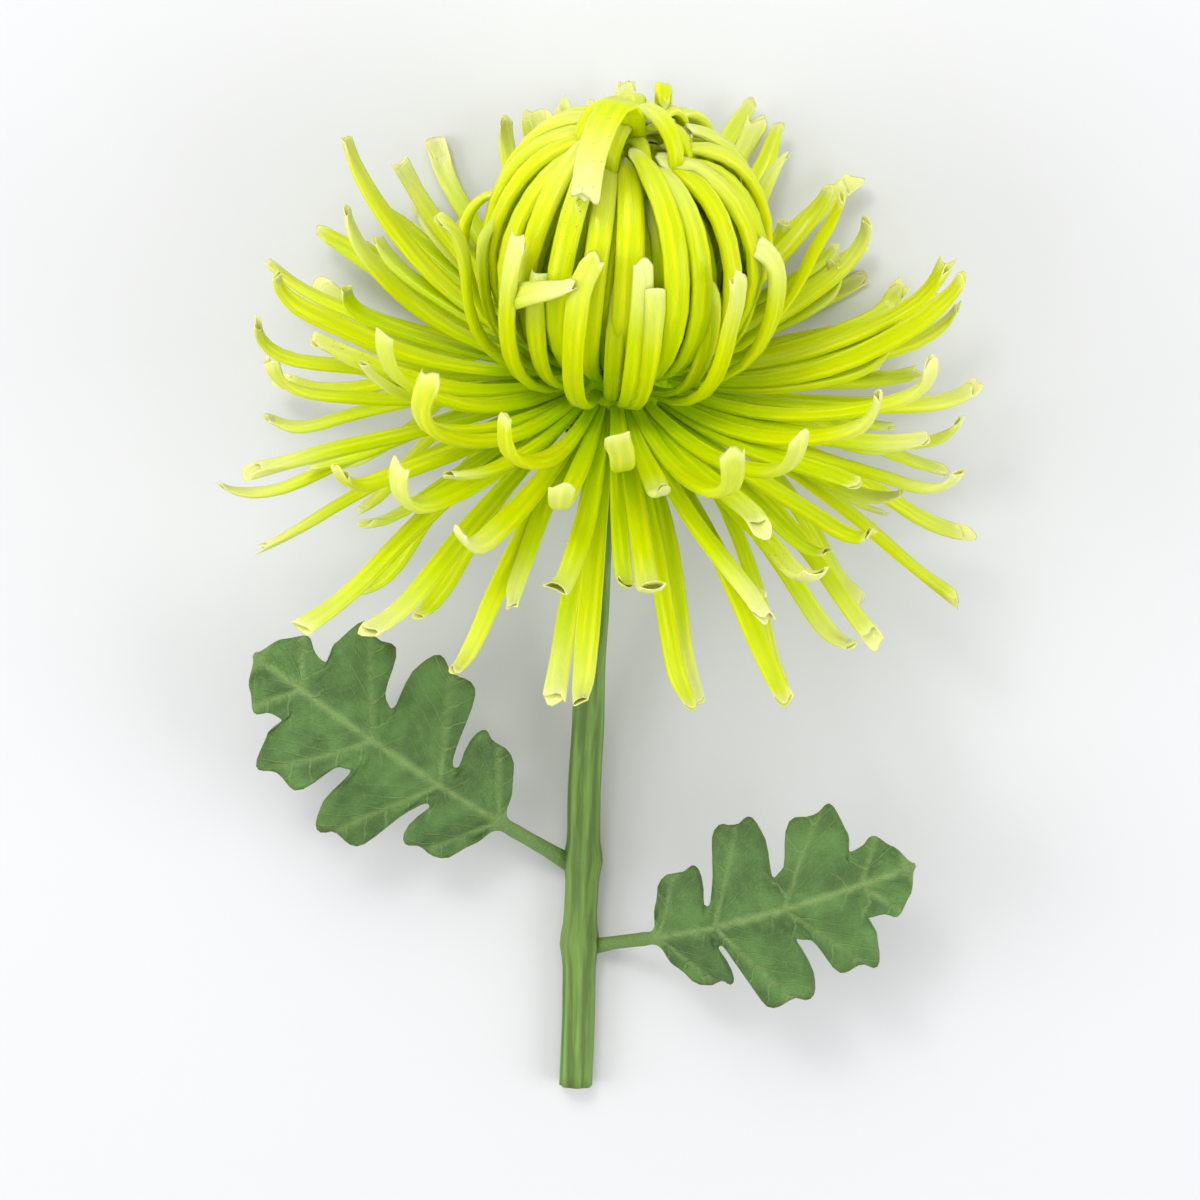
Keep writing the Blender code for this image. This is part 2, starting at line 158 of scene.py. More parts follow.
# Rings of florets from the heart outwards, with angles in degrees. First turns a ring by that share of a
# step; spread is how much the lengths vary; root is the radius and height of the root in the receptacle;
# lean is the angle from the bloom's axis at even steps from root to tip, and lean_spread how much it
# varies; whorl turns every floret of the ring sideways towards its tip. Sway, twist and hook are the most
# that one floret turns sideways besides, turns about itself, and bends near its tip; curl is the most that
# its tip curls in; depth is how far its colour goes towards the darker green, from 0 to 1. This is partly
# the florets' own greener colour and partly painted shade, and it is highest in the rings that lie low in
# the ball.
# The rings named short, low, mid and tucked, the crown, the heart's rim and its buds fill in between.
HEART_RINGS = (
    Ring("heart", 7, 0.2, 0.019, 0.08, (0.0030, 0.0185), (12, 4, -14, -40, -70),
         5, 12, 8, 10, 0, 0, 0.0028, 0.0019, 0.35),
    Ring("heart_buds", 19, 0.5, 0.0150, 0.18, (0.0026, 0.0230), (14, 4, -6, -26, -60),
         5, 16, 8, 12, 0, 40, 0.0019, 0.0015, 0.9),
    Ring("heart_rim", 19, 0.1, 0.0185, 0.12, (0.0052, 0.0230), (18, 6, -12, -54, -110),
         5, 16, 9, 12, 10, 50, 0.0025, 0.0017, 0.5),
    Ring("crown", 12, 0.35, 0.0270, 0.13, (0.0062, 0.0240), (26, 12, 6, -48, -138),
         6, 20, 12, 26, 24, 40, 0.0031, 0.0018, 0.15),
)
BALL_RINGS = (
    Ring("inner_ball", 13, 0.0, 0.043, 0.05, (0.0060, 0.0036), (70, 34, -2, -38, -92),
         2, 16, 5, 8, 6, 20, 0.0038, 0.0021, 0.5),
    Ring("outer_ball", 23, 0.5, 0.0555, 0.05, (0.0060, -0.0006), (76, 38, 1, -36, -82),
         2, 14, 6, 10, 10, 30, 0.0045, 0.0024, 0.12),
    Ring("low_ball", 17, 0.4, 0.036, 0.05, (0.0060, 0.0050), (68, 30, -4, -40, -92),
         2, 16, 5, 8, 6, 20, 0.0036, 0.0020, 1.0),
    Ring("mid_ball", 21, 0.15, 0.0485, 0.05, (0.0060, 0.0012), (73, 36, -1, -38, -88),
         2, 15, 5, 8, 8, 20, 0.0040, 0.0021, 0.6),
)
STRAY_RINGS = (
    Ring("over_the_top", 1, 0.660, 0.0485, 0.0, (0.0025, 0.0210), (-4, -3, 20, 124, 172),
         0, 14, 0, 20, 0, 0, 0.0058, 0.0022, 0.3),
    Ring("across_the_ball", 1, 0.585, 0.0465, 0.0, (0.0060, -0.0018), (82, 58, 8, 58, 61),
         0, 164, 0, 20, 0, 0, 0.0044, 0.0022, 0.3),
    Ring("up_the_ball", 1, 0.775, 0.043, 0.0, (0.0060, -0.0018), (98, 58, 12, -6, -16),
         0, 18, 0, 20, 0, 0, 0.0043, 0.0022, 0.3),
)
RISING_RINGS = (
    Ring("risers", 13, 0.3, 0.044, 0.13, (0.0055, -0.0022), (98, 64, 24, 2, 6),
         6, 0, 18, 30, 42, 75, 0.0042, 0.0023, 0.1),
    Ring("upper_spreaders", 21, 0.0, 0.055, 0.08, (0.0060, -0.0035), (100, 86, 68, 55, 34),
         6, 0, 14, 28, 26, 70, 0.0041, 0.0022, 0.15),
    Ring("tucked_risers", 9, 0.85, 0.038, 0.10, (0.0055, -0.0020), (94, 58, 20, 0, -18),
         5, 0, 12, 24, 24, 60, 0.0038, 0.0021, 0.3),
)
SPREADING_RINGS = (
    Ring("spreaders", 25, 0.4, 0.057, 0.07, (0.0065, -0.0048), (102, 96, 90, 85, 62),
         5, 0, 14, 28, 28, 70, 0.0041, 0.0022, 0.3),
    Ring("short_spreaders", 19, 0.9, 0.046, 0.10, (0.0062, -0.0040), (100, 91, 80, 72, 50),
         5, 0, 14, 28, 28, 70, 0.0037, 0.0020, 0.4),
)
DROOPING_RINGS = (
    Ring("droopers", 23, 0.1, 0.059, 0.08, (0.0070, -0.0060), (105, 109, 115, 121, 102),
         6, 0, 14, 30, 28, 60, 0.0039, 0.0021, 0.3),
    Ring("hangers", 13, 0.6, 0.050, 0.08, (0.0075, -0.0062), (101, 117, 136, 146, 124),
         6, 0, 14, 30, 28, 50, 0.0037, 0.0020, 0.4),
    Ring("short_droopers", 15, 0.35, 0.046, 0.10, (0.0068, -0.0055), (103, 104, 107, 110, 94),
         6, 0, 14, 30, 28, 60, 0.0034, 0.0019, 0.5),
)

Leaf = namedtuple("Leaf", "name along heading lift length width arch")
LEAVES = (
    Leaf("leaf_left", 0.72, 150, 14, 0.066, 0.036, 0.010),
    Leaf("leaf_right", 0.83, 24, 20, 0.060, 0.033, 0.012),
)
LEAF_ROOT_GAP = 0.0010
# How far the petiole's foot runs on from there, into the stem's swelling
PETIOLE_REACH = 0.0020
# Stations along the leaf, with the half-width as a share of the greatest and the edge's forward shift
LEAF_OUTLINE = (
    (0.00, 0.07, 0.00), (0.08, 0.07, 0.00), (0.16, 0.07, 0.00), (0.22, 0.10, 0.00),
    (0.27, 0.42, -0.01), (0.32, 0.66, 0.04), (0.37, 0.55, 0.05), (0.40, 0.24, 0.01),
    (0.44, 0.30, 0.00), (0.48, 0.84, 0.00), (0.54, 1.00, 0.05), (0.59, 0.80, 0.06),
    (0.62, 0.36, 0.02), (0.66, 0.42, 0.01), (0.70, 0.78, 0.02), (0.76, 0.84, 0.06),
    (0.81, 0.56, 0.05), (0.84, 0.34, 0.01), (0.89, 0.42, 0.02), (0.95, 0.26, 0.02),
    (1.00, 0.03, 0.00),
)
# Where each side vein leaves the midrib, and how far forward it runs to the blade's edge
SIDE_VEINS = ((0.225, 0.20), (0.43, 0.15), (0.645, 0.19), (0.86, 0.17))
MIDRIB_WIDTH = 0.00055
# As a share of the leaf's length
SIDE_VEIN_WIDTH = 0.0080
VEIN_DEPTH = 0.0004
LEAF_WAVE = 0.0012
LEAF_PUCKER = 0.00035
PETIOLE_BULGE = 0.0006
LEAF_STATIONS = 120
LEAF_COLUMNS = 28
# Length of a tooth on the blade's edge, as a share of the half-width
LEAF_TOOTH = 0.05
# How far the blade falls away from its midrib, as a share of its width
LEAF_FALL = 0.10
# The teeth, the waves and the puckers follow curves that turn by so many radians from root to tip
LEAF_TEETH_TURN = 92
LEAF_WAVE_TURN = 19
LEAF_PUCKER_TURN = 120


class FloretSettings(PropertyGroup):
    """Shapes and colours of the ray florets"""

    sides: IntProperty(name="Sides", description="Sides of each floret's tube", default=14, min=8, max=20)
    tooth: FloatProperty(
        name="Tooth", description="Length of the soft lobes round the open tip", default=0.0006,
        unit="LENGTH",
    )
    slit: FloatProperty(
        name="Slit", description="How far the inner side of a spoon tip is cut back", default=0.0038,
        unit="LENGTH",
    )
    groove: FloatProperty(
        name="Groove", description="Depth of the groove along each flat side, as a share of the thickness",
        default=0.26,
    )
    lime: FloatVectorProperty(
        name="Lime", description="Colour of a floret in the light", subtype="COLOR",
        default=(0.64, 0.66, 0.0008),
    )
    # The darker green is partly the florets' own colour near the roots and in the heart, and partly painted
    # shade on the florets low in the ball and in its gaps
    deep_lime_and_shade: FloatVectorProperty(
        name="Deep lime", description="Colour near the roots and in the heart", subtype="COLOR",
        default=(0.29, 0.58, 0.001),
    )
    green: FloatVectorProperty(
        name="Fresh green", description="Colour of the greener florets", subtype="COLOR",
        default=(0.46, 0.60, 0.001),
    )
    # Partly pale veins and partly a painted satin highlight along the rib crests
    stripe: FloatVectorProperty(
        name="Stripe", description="Colour of the lengthwise stripes", subtype="COLOR",
        default=(0.79, 0.80, 0.012),
    )
    wilt: FloatVectorProperty(
        name="Wilt", description="Colour of wilted streaks", subtype="COLOR", default=(0.34, 0.30, 0.02)
    )
    pale: FloatVectorProperty(
        name="Pale tip", description="Colour of the open tips and their insides", subtype="COLOR",
        default=(0.80, 0.80, 0.36),
    )
    bruise: FloatVectorProperty(
        name="Bruise", description="Colour of small brown flecks", subtype="COLOR",
        default=(0.22, 0.17, 0.015),
    )


class GreenerySettings(PropertyGroup):
    """Shapes and colours of the calyx, stem and leaves"""

    ribs: IntProperty(name="Ribs", description="Ribs along the stem", default=7, min=4, max=12)
    rib_height: FloatProperty(
        name="Rib height", description="Height of a rib on the stem", default=0.00018, unit="LENGTH"
    )
    blade_thickness: FloatProperty(
        name="Blade thickness", description="Thickness of a leaf", default=0.0007, unit="LENGTH"
    )
    stalk: FloatVectorProperty(
        name="Stalk", description="Colour of the stem", subtype="COLOR", default=(0.155, 0.27, 0.05)
    )
    pith: FloatVectorProperty(
        name="Pith", description="Colour of the cut end", subtype="COLOR", default=(0.66, 0.70, 0.42)
    )
    bract: FloatVectorProperty(
        name="Bract", description="Colour of the calyx", subtype="COLOR", default=(0.19, 0.31, 0.055)
    )
    blade: FloatVectorProperty(
        name="Blade", description="Colour of the leaves' upper side", subtype="COLOR",
        default=(0.068, 0.150, 0.030),
    )
    vein: FloatVectorProperty(
        name="Vein", description="Colour of the leaves' veins", subtype="COLOR", default=(0.20, 0.31, 0.09)
    )


class StageSettings(PropertyGroup):
    """The table, lights and camera"""

    table: FloatVectorProperty(
        name="Table", description="Colour of the table", subtype="COLOR", default=(0.645, 0.645, 0.652)
    )
    key_power: FloatProperty(name="Key power", description="Power of the large soft light", default=3.6)
    glint_power: FloatProperty(
        name="Glint power", description="Power of the small light that makes the highlights", default=1.4
    )
    fill_power: FloatProperty(name="Fill power", description="Power of each side light", default=4.1)
    sky: FloatProperty(name="Sky", description="Strength of the even light from all round", default=0.80)
    lens: FloatProperty(name="Lens", description="Focal length in millimetres", default=100.0)
    distance: FloatProperty(
        name="Distance", description="From the camera to the flower", default=0.555, unit="LENGTH"
    )
    look_down: FloatProperty(
        name="Look down", description="Angle of the view above the bloom's side", default=math.radians(86),
        subtype="ANGLE",
    )
    roll: FloatProperty(
        name="Roll", description="How far the flower leans right in the picture", default=math.radians(5.8),
        subtype="ANGLE",
    )


def add_object(name, data):
    made = bpy.data.objects.new(name, data)
    bpy.context.scene.collection.objects.link(made)
    return made


def add_piece(shape, name, stands_for, finish):
    """Makes a bmesh a smooth piece that rides on the flower and stands for a CAD node."""
    mesh = bpy.data.meshes.new(name)
    shape.to_mesh(mesh)
    shape.free()
    mesh.shade_smooth()
    mesh.materials.append(finish)
    piece = add_object(name, mesh)
    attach(piece, "root")
    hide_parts(stands_for)


def bloom_to_world():
    """The bloom's frame has its axis along +Z and the seat of the florets at its origin."""
    return Matrix.Translation(SEAT) @ Matrix.Rotation(BLOOM_TILT - math.pi / 2, 4, "X")


def value_at(profile, share):
    """The value at a share of the way along a list of evenly spaced values."""
    place = share * (len(profile) - 1)
    low = min(int(place), len(profile) - 2)
    return profile[low] + (profile[low + 1] - profile[low]) * (place - low)


def smooth_step(low, high, value):
    share = min(max((value - low) / (high - low), 0.0), 1.0)
    return share * share * (3 - 2 * share)


# Florets


def bend_to_surface(point, heading, level):
    """Turns a falling floret along the surface as it comes near it, and splays it outwards."""
    height = point.z - level
    if heading.z >= 0 or height > BEND_HEIGHT:
        return heading
    share = max(height, 0.0) / BEND_HEIGHT
    outwards = (point - SURFACE_FOOT).to_2d().normalized().to_3d()
    bent = heading.copy()
    bent.z *= share
    bent += outwards * (1 - share) * SPLAY
    return bent.normalized()


def floret_draws(ring):
    """The azimuth and the small differences of each floret of a ring, from the ring's own seeds."""
    draws = random.Random(f"{SEED} {ring.name}")
    curls = random.Random(f"{SEED} {ring.name} curls")
    for number in range(ring.count):
        turn = 360 / ring.count
        scatter = draws.uniform(-0.2, 0.2) * min(turn, 24)
        yield {
            "azimuth": math.radians((number + ring.first) * turn + scatter),
            "length": ring.length * (1 + draws.uniform(-ring.spread, ring.spread)),
            "lean": draws.gauss(0, ring.lean_spread),
            "sway": ring.whorl + draws.uniform(-ring.sway, ring.sway),
            "twist": math.radians(draws.uniform(-ring.twist, ring.twist)),
            "hook": draws.uniform(-ring.hook, ring.hook),
            "level": LOWEST_LEVEL + (HIGHEST_LEVEL - LOWEST_LEVEL) * draws.random(),
            "curl": math.radians(curls.uniform(-0.3, 1.0) * ring.curl),
        }


def curled_tip(points, across_root, curl):
    """Curls the last steps of a path towards the floret's inner side, unless they lie on the surface."""
    freedom = min(max(points[-1].z / BEND_HEIGHT, 0.0), 1.0)
    curled = points[: CURL_STEP + 1]
    for number in range(CURL_STEP, STEPS):
        step = points[number + 1] - points[number]
        across = (across_root - step * (across_root.dot(step) / step.length_squared)).normalized()
        share = (number + 1 - CURL_STEP) / (STEPS - CURL_STEP)
        curled.append(curled[-1] + Matrix.Rotation(-curl * freedom * share**1.4, 3, across) @ step)
    return curled


def floret_path(ring, draw):
    """Evenly spaced world points along one floret."""
    to_world = bloom_to_world()
    turned = to_world.to_3x3() @ Matrix.Rotation(draw["azimuth"], 3, "Z")
    point = to_world @ (Matrix.Rotation(draw["azimuth"], 3, "Z") @ Vector((ring.root[0], 0, ring.root[1])))
    step = draw["length"] / STEPS
    points = [point.copy()]
    for number in range(STEPS):
        share = (number + 0.5) / STEPS
        hook = draw["hook"] * max(0.0, share - 0.7) / 0.3
        lean = math.radians(value_at(ring.lean, share) + draw["lean"] * share + hook)
        sway = math.radians(draw["sway"]) * share**2
        local = Vector((math.sin(lean) * math.cos(sway), math.sin(lean) * math.sin(sway), math.cos(lean)))
        heading = bend_to_surface(point, turned @ local, draw["level"])
        point = point + heading * step
        points.append(point.copy())
    return curled_tip(points, turned @ Vector((0, 1, 0)), draw["curl"])


def floret_girth(share):
    """A floret is a narrow tube at its root and widest near its open tip."""
    return value_at((0.42, 0.74, 0.94, 1.00, 0.90), share)


def path_point(points, share):
    """A point along the path; past the tip, the path goes straight on."""
    place = share * (len(points) - 1)
    low = min(max(int(place), 0), len(points) - 2)
    return points[low].lerp(points[low + 1], place - low)


def path_heading(points, share):
    reach = 0.7 / (len(points) - 1)
    ahead = path_point(points, min(share + reach, 1.0))
    return (ahead - path_point(points, max(share - reach, 0.0))).normalized()


def floret_directions(points, draw, share):
    """The directions across a floret and towards its inner side, at a share of its length."""
    turned = bloom_to_world().to_3x3() @ Matrix.Rotation(draw["azimuth"], 3, "Z")
    across_root = turned @ Vector((0, 1, 0))
    heading = path_heading(points, share)
    across = (across_root - heading * across_root.dot(heading)).normalized()
    across.rotate(Matrix.Rotation(draw["twist"] * share, 3, heading))
    return across, heading.cross(across)


def laid_height(height, centre, reach):
    """A height on a floret whose skin reaches this far above and below its centre, squashed by the table.

    The floret keeps at least half its thickness, so its outer and inner skins stay apart."""
    if centre - reach >= TABLE_GAP:
        return height
    top = max(centre + reach, TABLE_GAP + reach)
    squash = (top - TABLE_GAP) / (2 * reach)
    return (top + TABLE_GAP) / 2 + (height - centre) * squash


def grow_rim(shape, rim, rise, spread=1.0):
    """Extrudes a rim of edges along +Z, scales it round the axis, and gives the new rim."""
    grown = bmesh.ops.extrude_edge_only(shape, edges=rim)["geom"]
    verts = [item for item in grown if isinstance(item, bmesh.types.BMVert)]
    bmesh.ops.translate(shape, verts=verts, vec=(0, 0, rise))
    bmesh.ops.scale(shape, verts=verts, vec=(spread, spread, 1))
    new = set(verts)
    return [item for item in grown if isinstance(item, bmesh.types.BMEdge) and new.issuperset(item.verts)]


def tube_template(sides):
    """A straight floret of radius 1 and length 1 along +Z, with a hollow mouth at its tip."""
    shape = bmesh.new()
    bmesh.ops.create_circle(shape, cap_ends=True, segments=sides, radius=1)
    rim = list(shape.edges)
    for low, high in zip(TUBE_SHARES, TUBE_SHARES[1:]):
        rim = grow_rim(shape, rim, high - low)
    height, radius = 1.0, 1.0
    for wall_height, wall_radius in MOUTH_WALL:
        rim = grow_rim(shape, rim, wall_height - height, wall_radius / radius)
        height, radius = wall_height, wall_radius
    bmesh.ops.edgeloop_fill(shape, edges=rim)
    bmesh.ops.recalc_face_normals(shape, faces=shape.faces)
    mesh = bpy.data.meshes.new("floret_template")
    shape.to_mesh(mesh)
    shape.free()
    return mesh


class FloretBed:
    """Collects florets into one mesh with the attributes that their markings read."""

    def __init__(self, settings):
        self.settings = settings
        self.template = tube_template(settings.sides)
        self.shape = bmesh.new()
        self.grain = self.shape.verts.layers.float_vector.new("grain")
        self.marks = self.shape.verts.layers.float_vector.new("marks")
        self.wear = self.shape.verts.layers.float_vector.new("wear")
        self.section = self.shape.verts.layers.float_vector.new("section")

    def add(self, ring, draw, looks):
        """Lays one tube along its floret's path. The looks are its own small random differences."""
        settings = self.settings
        points = floret_path(ring, draw)
        length = draw["length"]
        half_width, half_thickness = ring.width / 2 * looks["size"], ring.thickness / 2
        first = len(self.shape.verts)
        self.shape.from_mesh(self.template)
        self.shape.verts.ensure_lookup_table()
        directions = {}
        offset = Vector((looks["seed"], looks["seed"] * 0.37, looks["seed"] * 0.71))
        for vertex in self.shape.verts[first:]:
            x, y, share = vertex.co
            station = round(share, 4)
            if station not in directions:
                directions[station] = floret_directions(points, draw, share)
            across, inwards = directions[station]
            radius = math.hypot(x, y)
            angle = math.atan2(y, x)
            mouth = smooth_step(looks["mouth_start"], 1.0, share)
            swell = math.sin(share * GIRTH_WAVE_TURN + looks["wobble"])
            girth = floret_girth(share) * (1 + GIRTH_WAVE * swell)
            width = half_width * girth * (1 + mouth * looks["flare"])
            depth = half_thickness * girth * (1 + mouth * looks["gape"])
            groove = 1 - settings.groove * math.exp(-((x / GROOVE_REACH) ** 2)) * (1 - mouth * 0.6)
            lobes = settings.tooth * looks["lobes"] * math.cos(angle * looks["teeth"] + looks["phase"])
            rounding = looks["rounding"] * half_width * x * x
            split = settings.slit * looks["slit"] * smooth_step(-0.3, 1.0, math.sin(angle))
            shift = smooth_step(RIM_START, 1.0, share) * (lobes - rounding - split) / length
            centre = path_point(points, share + shift)
            place = centre + across * (x * width) + inwards * (y * depth * groove)
            place += inwards * (mouth * looks["lip"] * half_thickness * (x * x - 0.4))
            place += across * (smooth_step(KINK_START, 1.0, share) * looks["kink"] * half_width)
            reach = math.hypot(across.z * width, inwards.z * depth)
            place.z = max(laid_height(place.z, centre.z, reach), TABLE_GAP)
            vertex.co = place
            grain = Vector((x * half_width, y * half_thickness, share * length * GRAIN_SHARE))
            vertex[self.grain] = offset + grain
            vertex[self.marks] = (share, looks["tone"], 1.0 if radius < 0.9 else 0.0)
            vertex[self.wear] = (looks["age"], looks["pale"], looks["depth"])
            on_circle = Vector((x, y)) / max(radius, 0.01)
            vertex[self.section] = (*on_circle, looks["seed"] + share * length)

    def finish(self, name):
        bpy.data.meshes.remove(self.template)
        add_piece(self.shape, name, "bloom", floret_material(self.settings))


# The least and the most that each kind of tip is opened, lobed, rounded, slit or bent
TIPS = {
    "pinched": {
        "flare": (-0.35, -0.10), "gape": (-0.70, -0.45), "mouth_start": (0.84, 0.90), "lobes": (0.2, 0.7),
        "rounding": (0.40, 0.90), "slit": (0.0, 0.15), "lip": (-0.8, 0.8),
    },
    "lobed": {
        "flare": (0.00, 0.32), "gape": (-0.58, -0.22), "mouth_start": (0.80, 0.89), "lobes": (0.6, 1.5),
        "rounding": (0.3, 0.8), "slit": (0.0, 0.5), "lip": (-0.8, 1.4),
    },
    "spoon": {
        "flare": (0.05, 0.30), "gape": (-0.50, -0.20), "mouth_start": (0.74, 0.82), "lobes": (0.2, 0.8),
        "rounding": (0.4, 0.9), "slit": (0.5, 1.0), "lip": (0.4, 1.6),
    },
}
# How often each kind of tip comes, in the order above, in the rings where most florets are pinched, and
# in all others
TIP_WEIGHTS = {
    "heart": (80, 10, 10),
    "heart_buds": (100, 0, 0),
    "heart_rim": (80, 20, 0),
    "crown": (50, 50, 0),
}
COMMON_TIP_WEIGHTS = (38, 42, 20)
WILTED_SHARE = 0.05
STRAY_TIPS = {
    "over_the_top": {
        "flare": 0.04, "gape": -0.50, "mouth_start": 0.85, "lobes": 1.3, "rounding": 0.15,
        "slit": 0.0, "lip": -0.5, "pale": 1.0, "size": 1.0, "age": 0.75,
    },
    "across_the_ball": {
        "flare": -0.10, "gape": -0.45, "mouth_start": 0.90, "lobes": 0.3, "rounding": 0.35,
        "slit": 0.0, "lip": 0.0, "pale": 1.0, "size": 1.0, "age": 0.0,
    },
    "up_the_ball": {"pale": 1.0, "size": 0.95, "rounding": 0.5, "flare": -0.05},
}


def floret_looks(ring, draws):
    """How one floret's tip opens and how its colour differs from its neighbours."""
    weights = TIP_WEIGHTS.get(ring.name, COMMON_TIP_WEIGHTS)
    tip = draws.choices(list(TIPS.values()), weights=weights)[0]
    looks = {key: draws.uniform(*value) for key, value in tip.items()}
    wilted = draws.random() < WILTED_SHARE
    looks.update({
        "seed": draws.uniform(0, 40),
        "wobble": draws.uniform(0, 6.28),
        "size": draws.uniform(0.80, 1.03),
        "kink": draws.uniform(-0.45, 0.45),
        "teeth": draws.choice((2, 3, 3)),
        "phase": draws.uniform(0, 6.28),
        "tone": draws.uniform(0, 1),
        "pale": draws.uniform(0.0, 1.0) ** 1.3,
        "age": draws.uniform(0.6, 1.0) if wilted else draws.uniform(0.0, 0.25),
        "depth": ring.depth,
    })
    looks.update(STRAY_TIPS.get(ring.name, {}))
    return looks


def grow_rings(name, rings, settings):
    """One piece holding every floret of these rings."""
    bed = FloretBed(settings)
    for ring in rings:
        looks = random.Random(f"{SEED} looks of {ring.name}")
        for draw in floret_draws(ring):
            bed.add(ring, draw, floret_looks(ring, looks))
    bed.finish(name)


# Materials

GREENERY_FLECK = (0.10, 0.08, 0.03)
STEM_RIND = (0.24, 0.30, 0.10)
LEAF_EDGE = (0.17, 0.19, 0.04)


def set_inputs(tree, made, inputs):
    """Links a node's inputs, by name or number, or sets them to numbers, vectors and colours."""
    for key, value in inputs.items():
        socket = made.inputs[key]
        if isinstance(value, bpy.types.NodeSocket):
            tree.links.new(value, socket)
        elif isinstance(value, (int, float)):
            socket.default_value = value
        else:
            # A colour's fourth value is its alpha, which a vector has no place for
            socket.default_value = (*value, 1)[: len(socket.default_value)]


def node(tree, kind, inputs, **settings):
    made = tree.nodes.new(kind)
    for key, value in settings.items():
        setattr(made, key, value)
    set_inputs(tree, made, inputs)
    return made


def math_node(tree, operation, *values, clamp=False):
    inputs = dict(enumerate(values))
    return node(tree, "ShaderNodeMath", inputs, operation=operation, use_clamp=clamp).outputs[0]


def reverse(tree, value):
    return math_node(tree, "SUBTRACT", 1.0, value)


def mix_colour(tree, share, first, second):
    """Mixes two colours, which have their own inputs and output, after those for numbers and vectors."""
    return node(tree, "ShaderNodeMix", {0: share, 6: first, 7: second}, data_type="RGBA").outputs[2]


def tinted(tree, colour, mask, strength, tint):
    """Mixes a tint into a colour where the mask is, by the strength at most."""
    return mix_colour(tree, math_node(tree, "MULTIPLY", mask, strength), colour, tint)


def ramp(tree, value, low, high):
    """0 below low, 1 above high, smooth between."""
    inputs = {"Value": value, "From Min": low, "From Max": high}
    return node(tree, "ShaderNodeMapRange", inputs, interpolation_type="SMOOTHSTEP").outputs["Result"]


def noise(tree, place, scale, detail):
    inputs = {"Vector": place, "Scale": scale, "Detail": detail}
    return node(tree, "ShaderNodeTexNoise", inputs).outputs["Fac"]


def attribute(tree, name):
    """A vector attribute, whole and as its three parts."""
    whole = node(tree, "ShaderNodeAttribute", {}, attribute_name=name).outputs["Vector"]
    return whole, node(tree, "ShaderNodeSeparateXYZ", {0: whole}).outputs


def new_group(name, inputs, outputs):
    """A new shader group, given its inputs by name and kind. Its outputs are all numbers."""
    tree = bpy.data.node_groups.new(name, "ShaderNodeTree")
    for title, kind in inputs.items():
        tree.interface.new_socket(name=title, in_out="INPUT", socket_type=f"NodeSocket{kind}")
    for title in outputs:
        tree.interface.new_socket(name=title, in_out="OUTPUT", socket_type="NodeSocketFloat")
    return tree, node(tree, "NodeGroupInput", {}).outputs


def grouped(tree, group, **inputs):
    """The outputs of a shared group placed in a material."""
    return node(tree, "ShaderNodeGroup", inputs, node_tree=group).outputs


def fibres_group():
    """Lengthwise ribs and fibres round a tube: a mask of pale stripes, one of ribs, and a height."""
    found = bpy.data.node_groups.get("lengthwise_fibres")
    if found:
        return found
    inputs = {
        "Grain": "Vector", "Section": "Vector", "Ribs": "Float", "Stripes": "Float", "Strands": "Float",
    }
    tree, given = new_group("lengthwise_fibres", inputs, ("Stripe", "Rib", "Height"))
    stripes = noise(tree, given["Grain"], given["Stripes"], 2.0)
    strands = noise(tree, given["Grain"], given["Strands"], 2.0)
    x, y, _ = node(tree, "ShaderNodeSeparateXYZ", {0: given["Section"]}).outputs
    turn = math_node(tree, "MULTIPLY", math_node(tree, "ARCTAN2", y, x), given["Ribs"])
    ribs = math_node(tree, "MULTIPLY_ADD", math_node(tree, "COSINE", turn), 0.5, 0.5)
    coarse = math_node(tree, "MULTIPLY", ribs, math_node(tree, "ADD", stripes, 0.1))
    coarse = math_node(tree, "MULTIPLY", coarse, 0.6)
    fine = math_node(tree, "MULTIPLY", ramp(tree, strands, 0.35, 0.70), 0.4)
    node(tree, "NodeGroupOutput", {
        "Stripe": math_node(tree, "MULTIPLY", ramp(tree, stripes, 0.44, 0.66), ribs),
        "Rib": ribs,
        "Height": math_node(tree, "ADD", coarse, fine),
    })
    return tree


def flecks_group():
    """Scattered small flecks, as a mask."""
    found = bpy.data.node_groups.get("scattered_flecks")
    if found:
        return found
    inputs = {"Vector": "Vector", "Scale": "Float", "Amount": "Float", "Softness": "Float"}
    tree, given = new_group("scattered_flecks", inputs, ("Fleck",))
    patches = noise(tree, given["Vector"], given["Scale"], 3.0)
    edge = math_node(tree, "SUBTRACT", 0.80, math_node(tree, "MULTIPLY", given["Amount"], 0.30))
    fleck = ramp(tree, patches, edge, math_node(tree, "ADD", edge, given["Softness"]))
    node(tree, "NodeGroupOutput", {"Fleck": fleck})
    return tree


def new_material(name, colour):
    """A new material, with its node tree and its shader."""
    made = bpy.data.materials.new(name)
    made.use_nodes = True
    made.diffuse_color = (*colour, 1)
    return made, made.node_tree, made.node_tree.nodes["Principled BSDF"]


def bump(tree, height, strength, distance):
    inputs = {"Height": height, "Strength": strength, "Distance": distance}
    return node(tree, "ShaderNodeBump", inputs).outputs["Normal"]


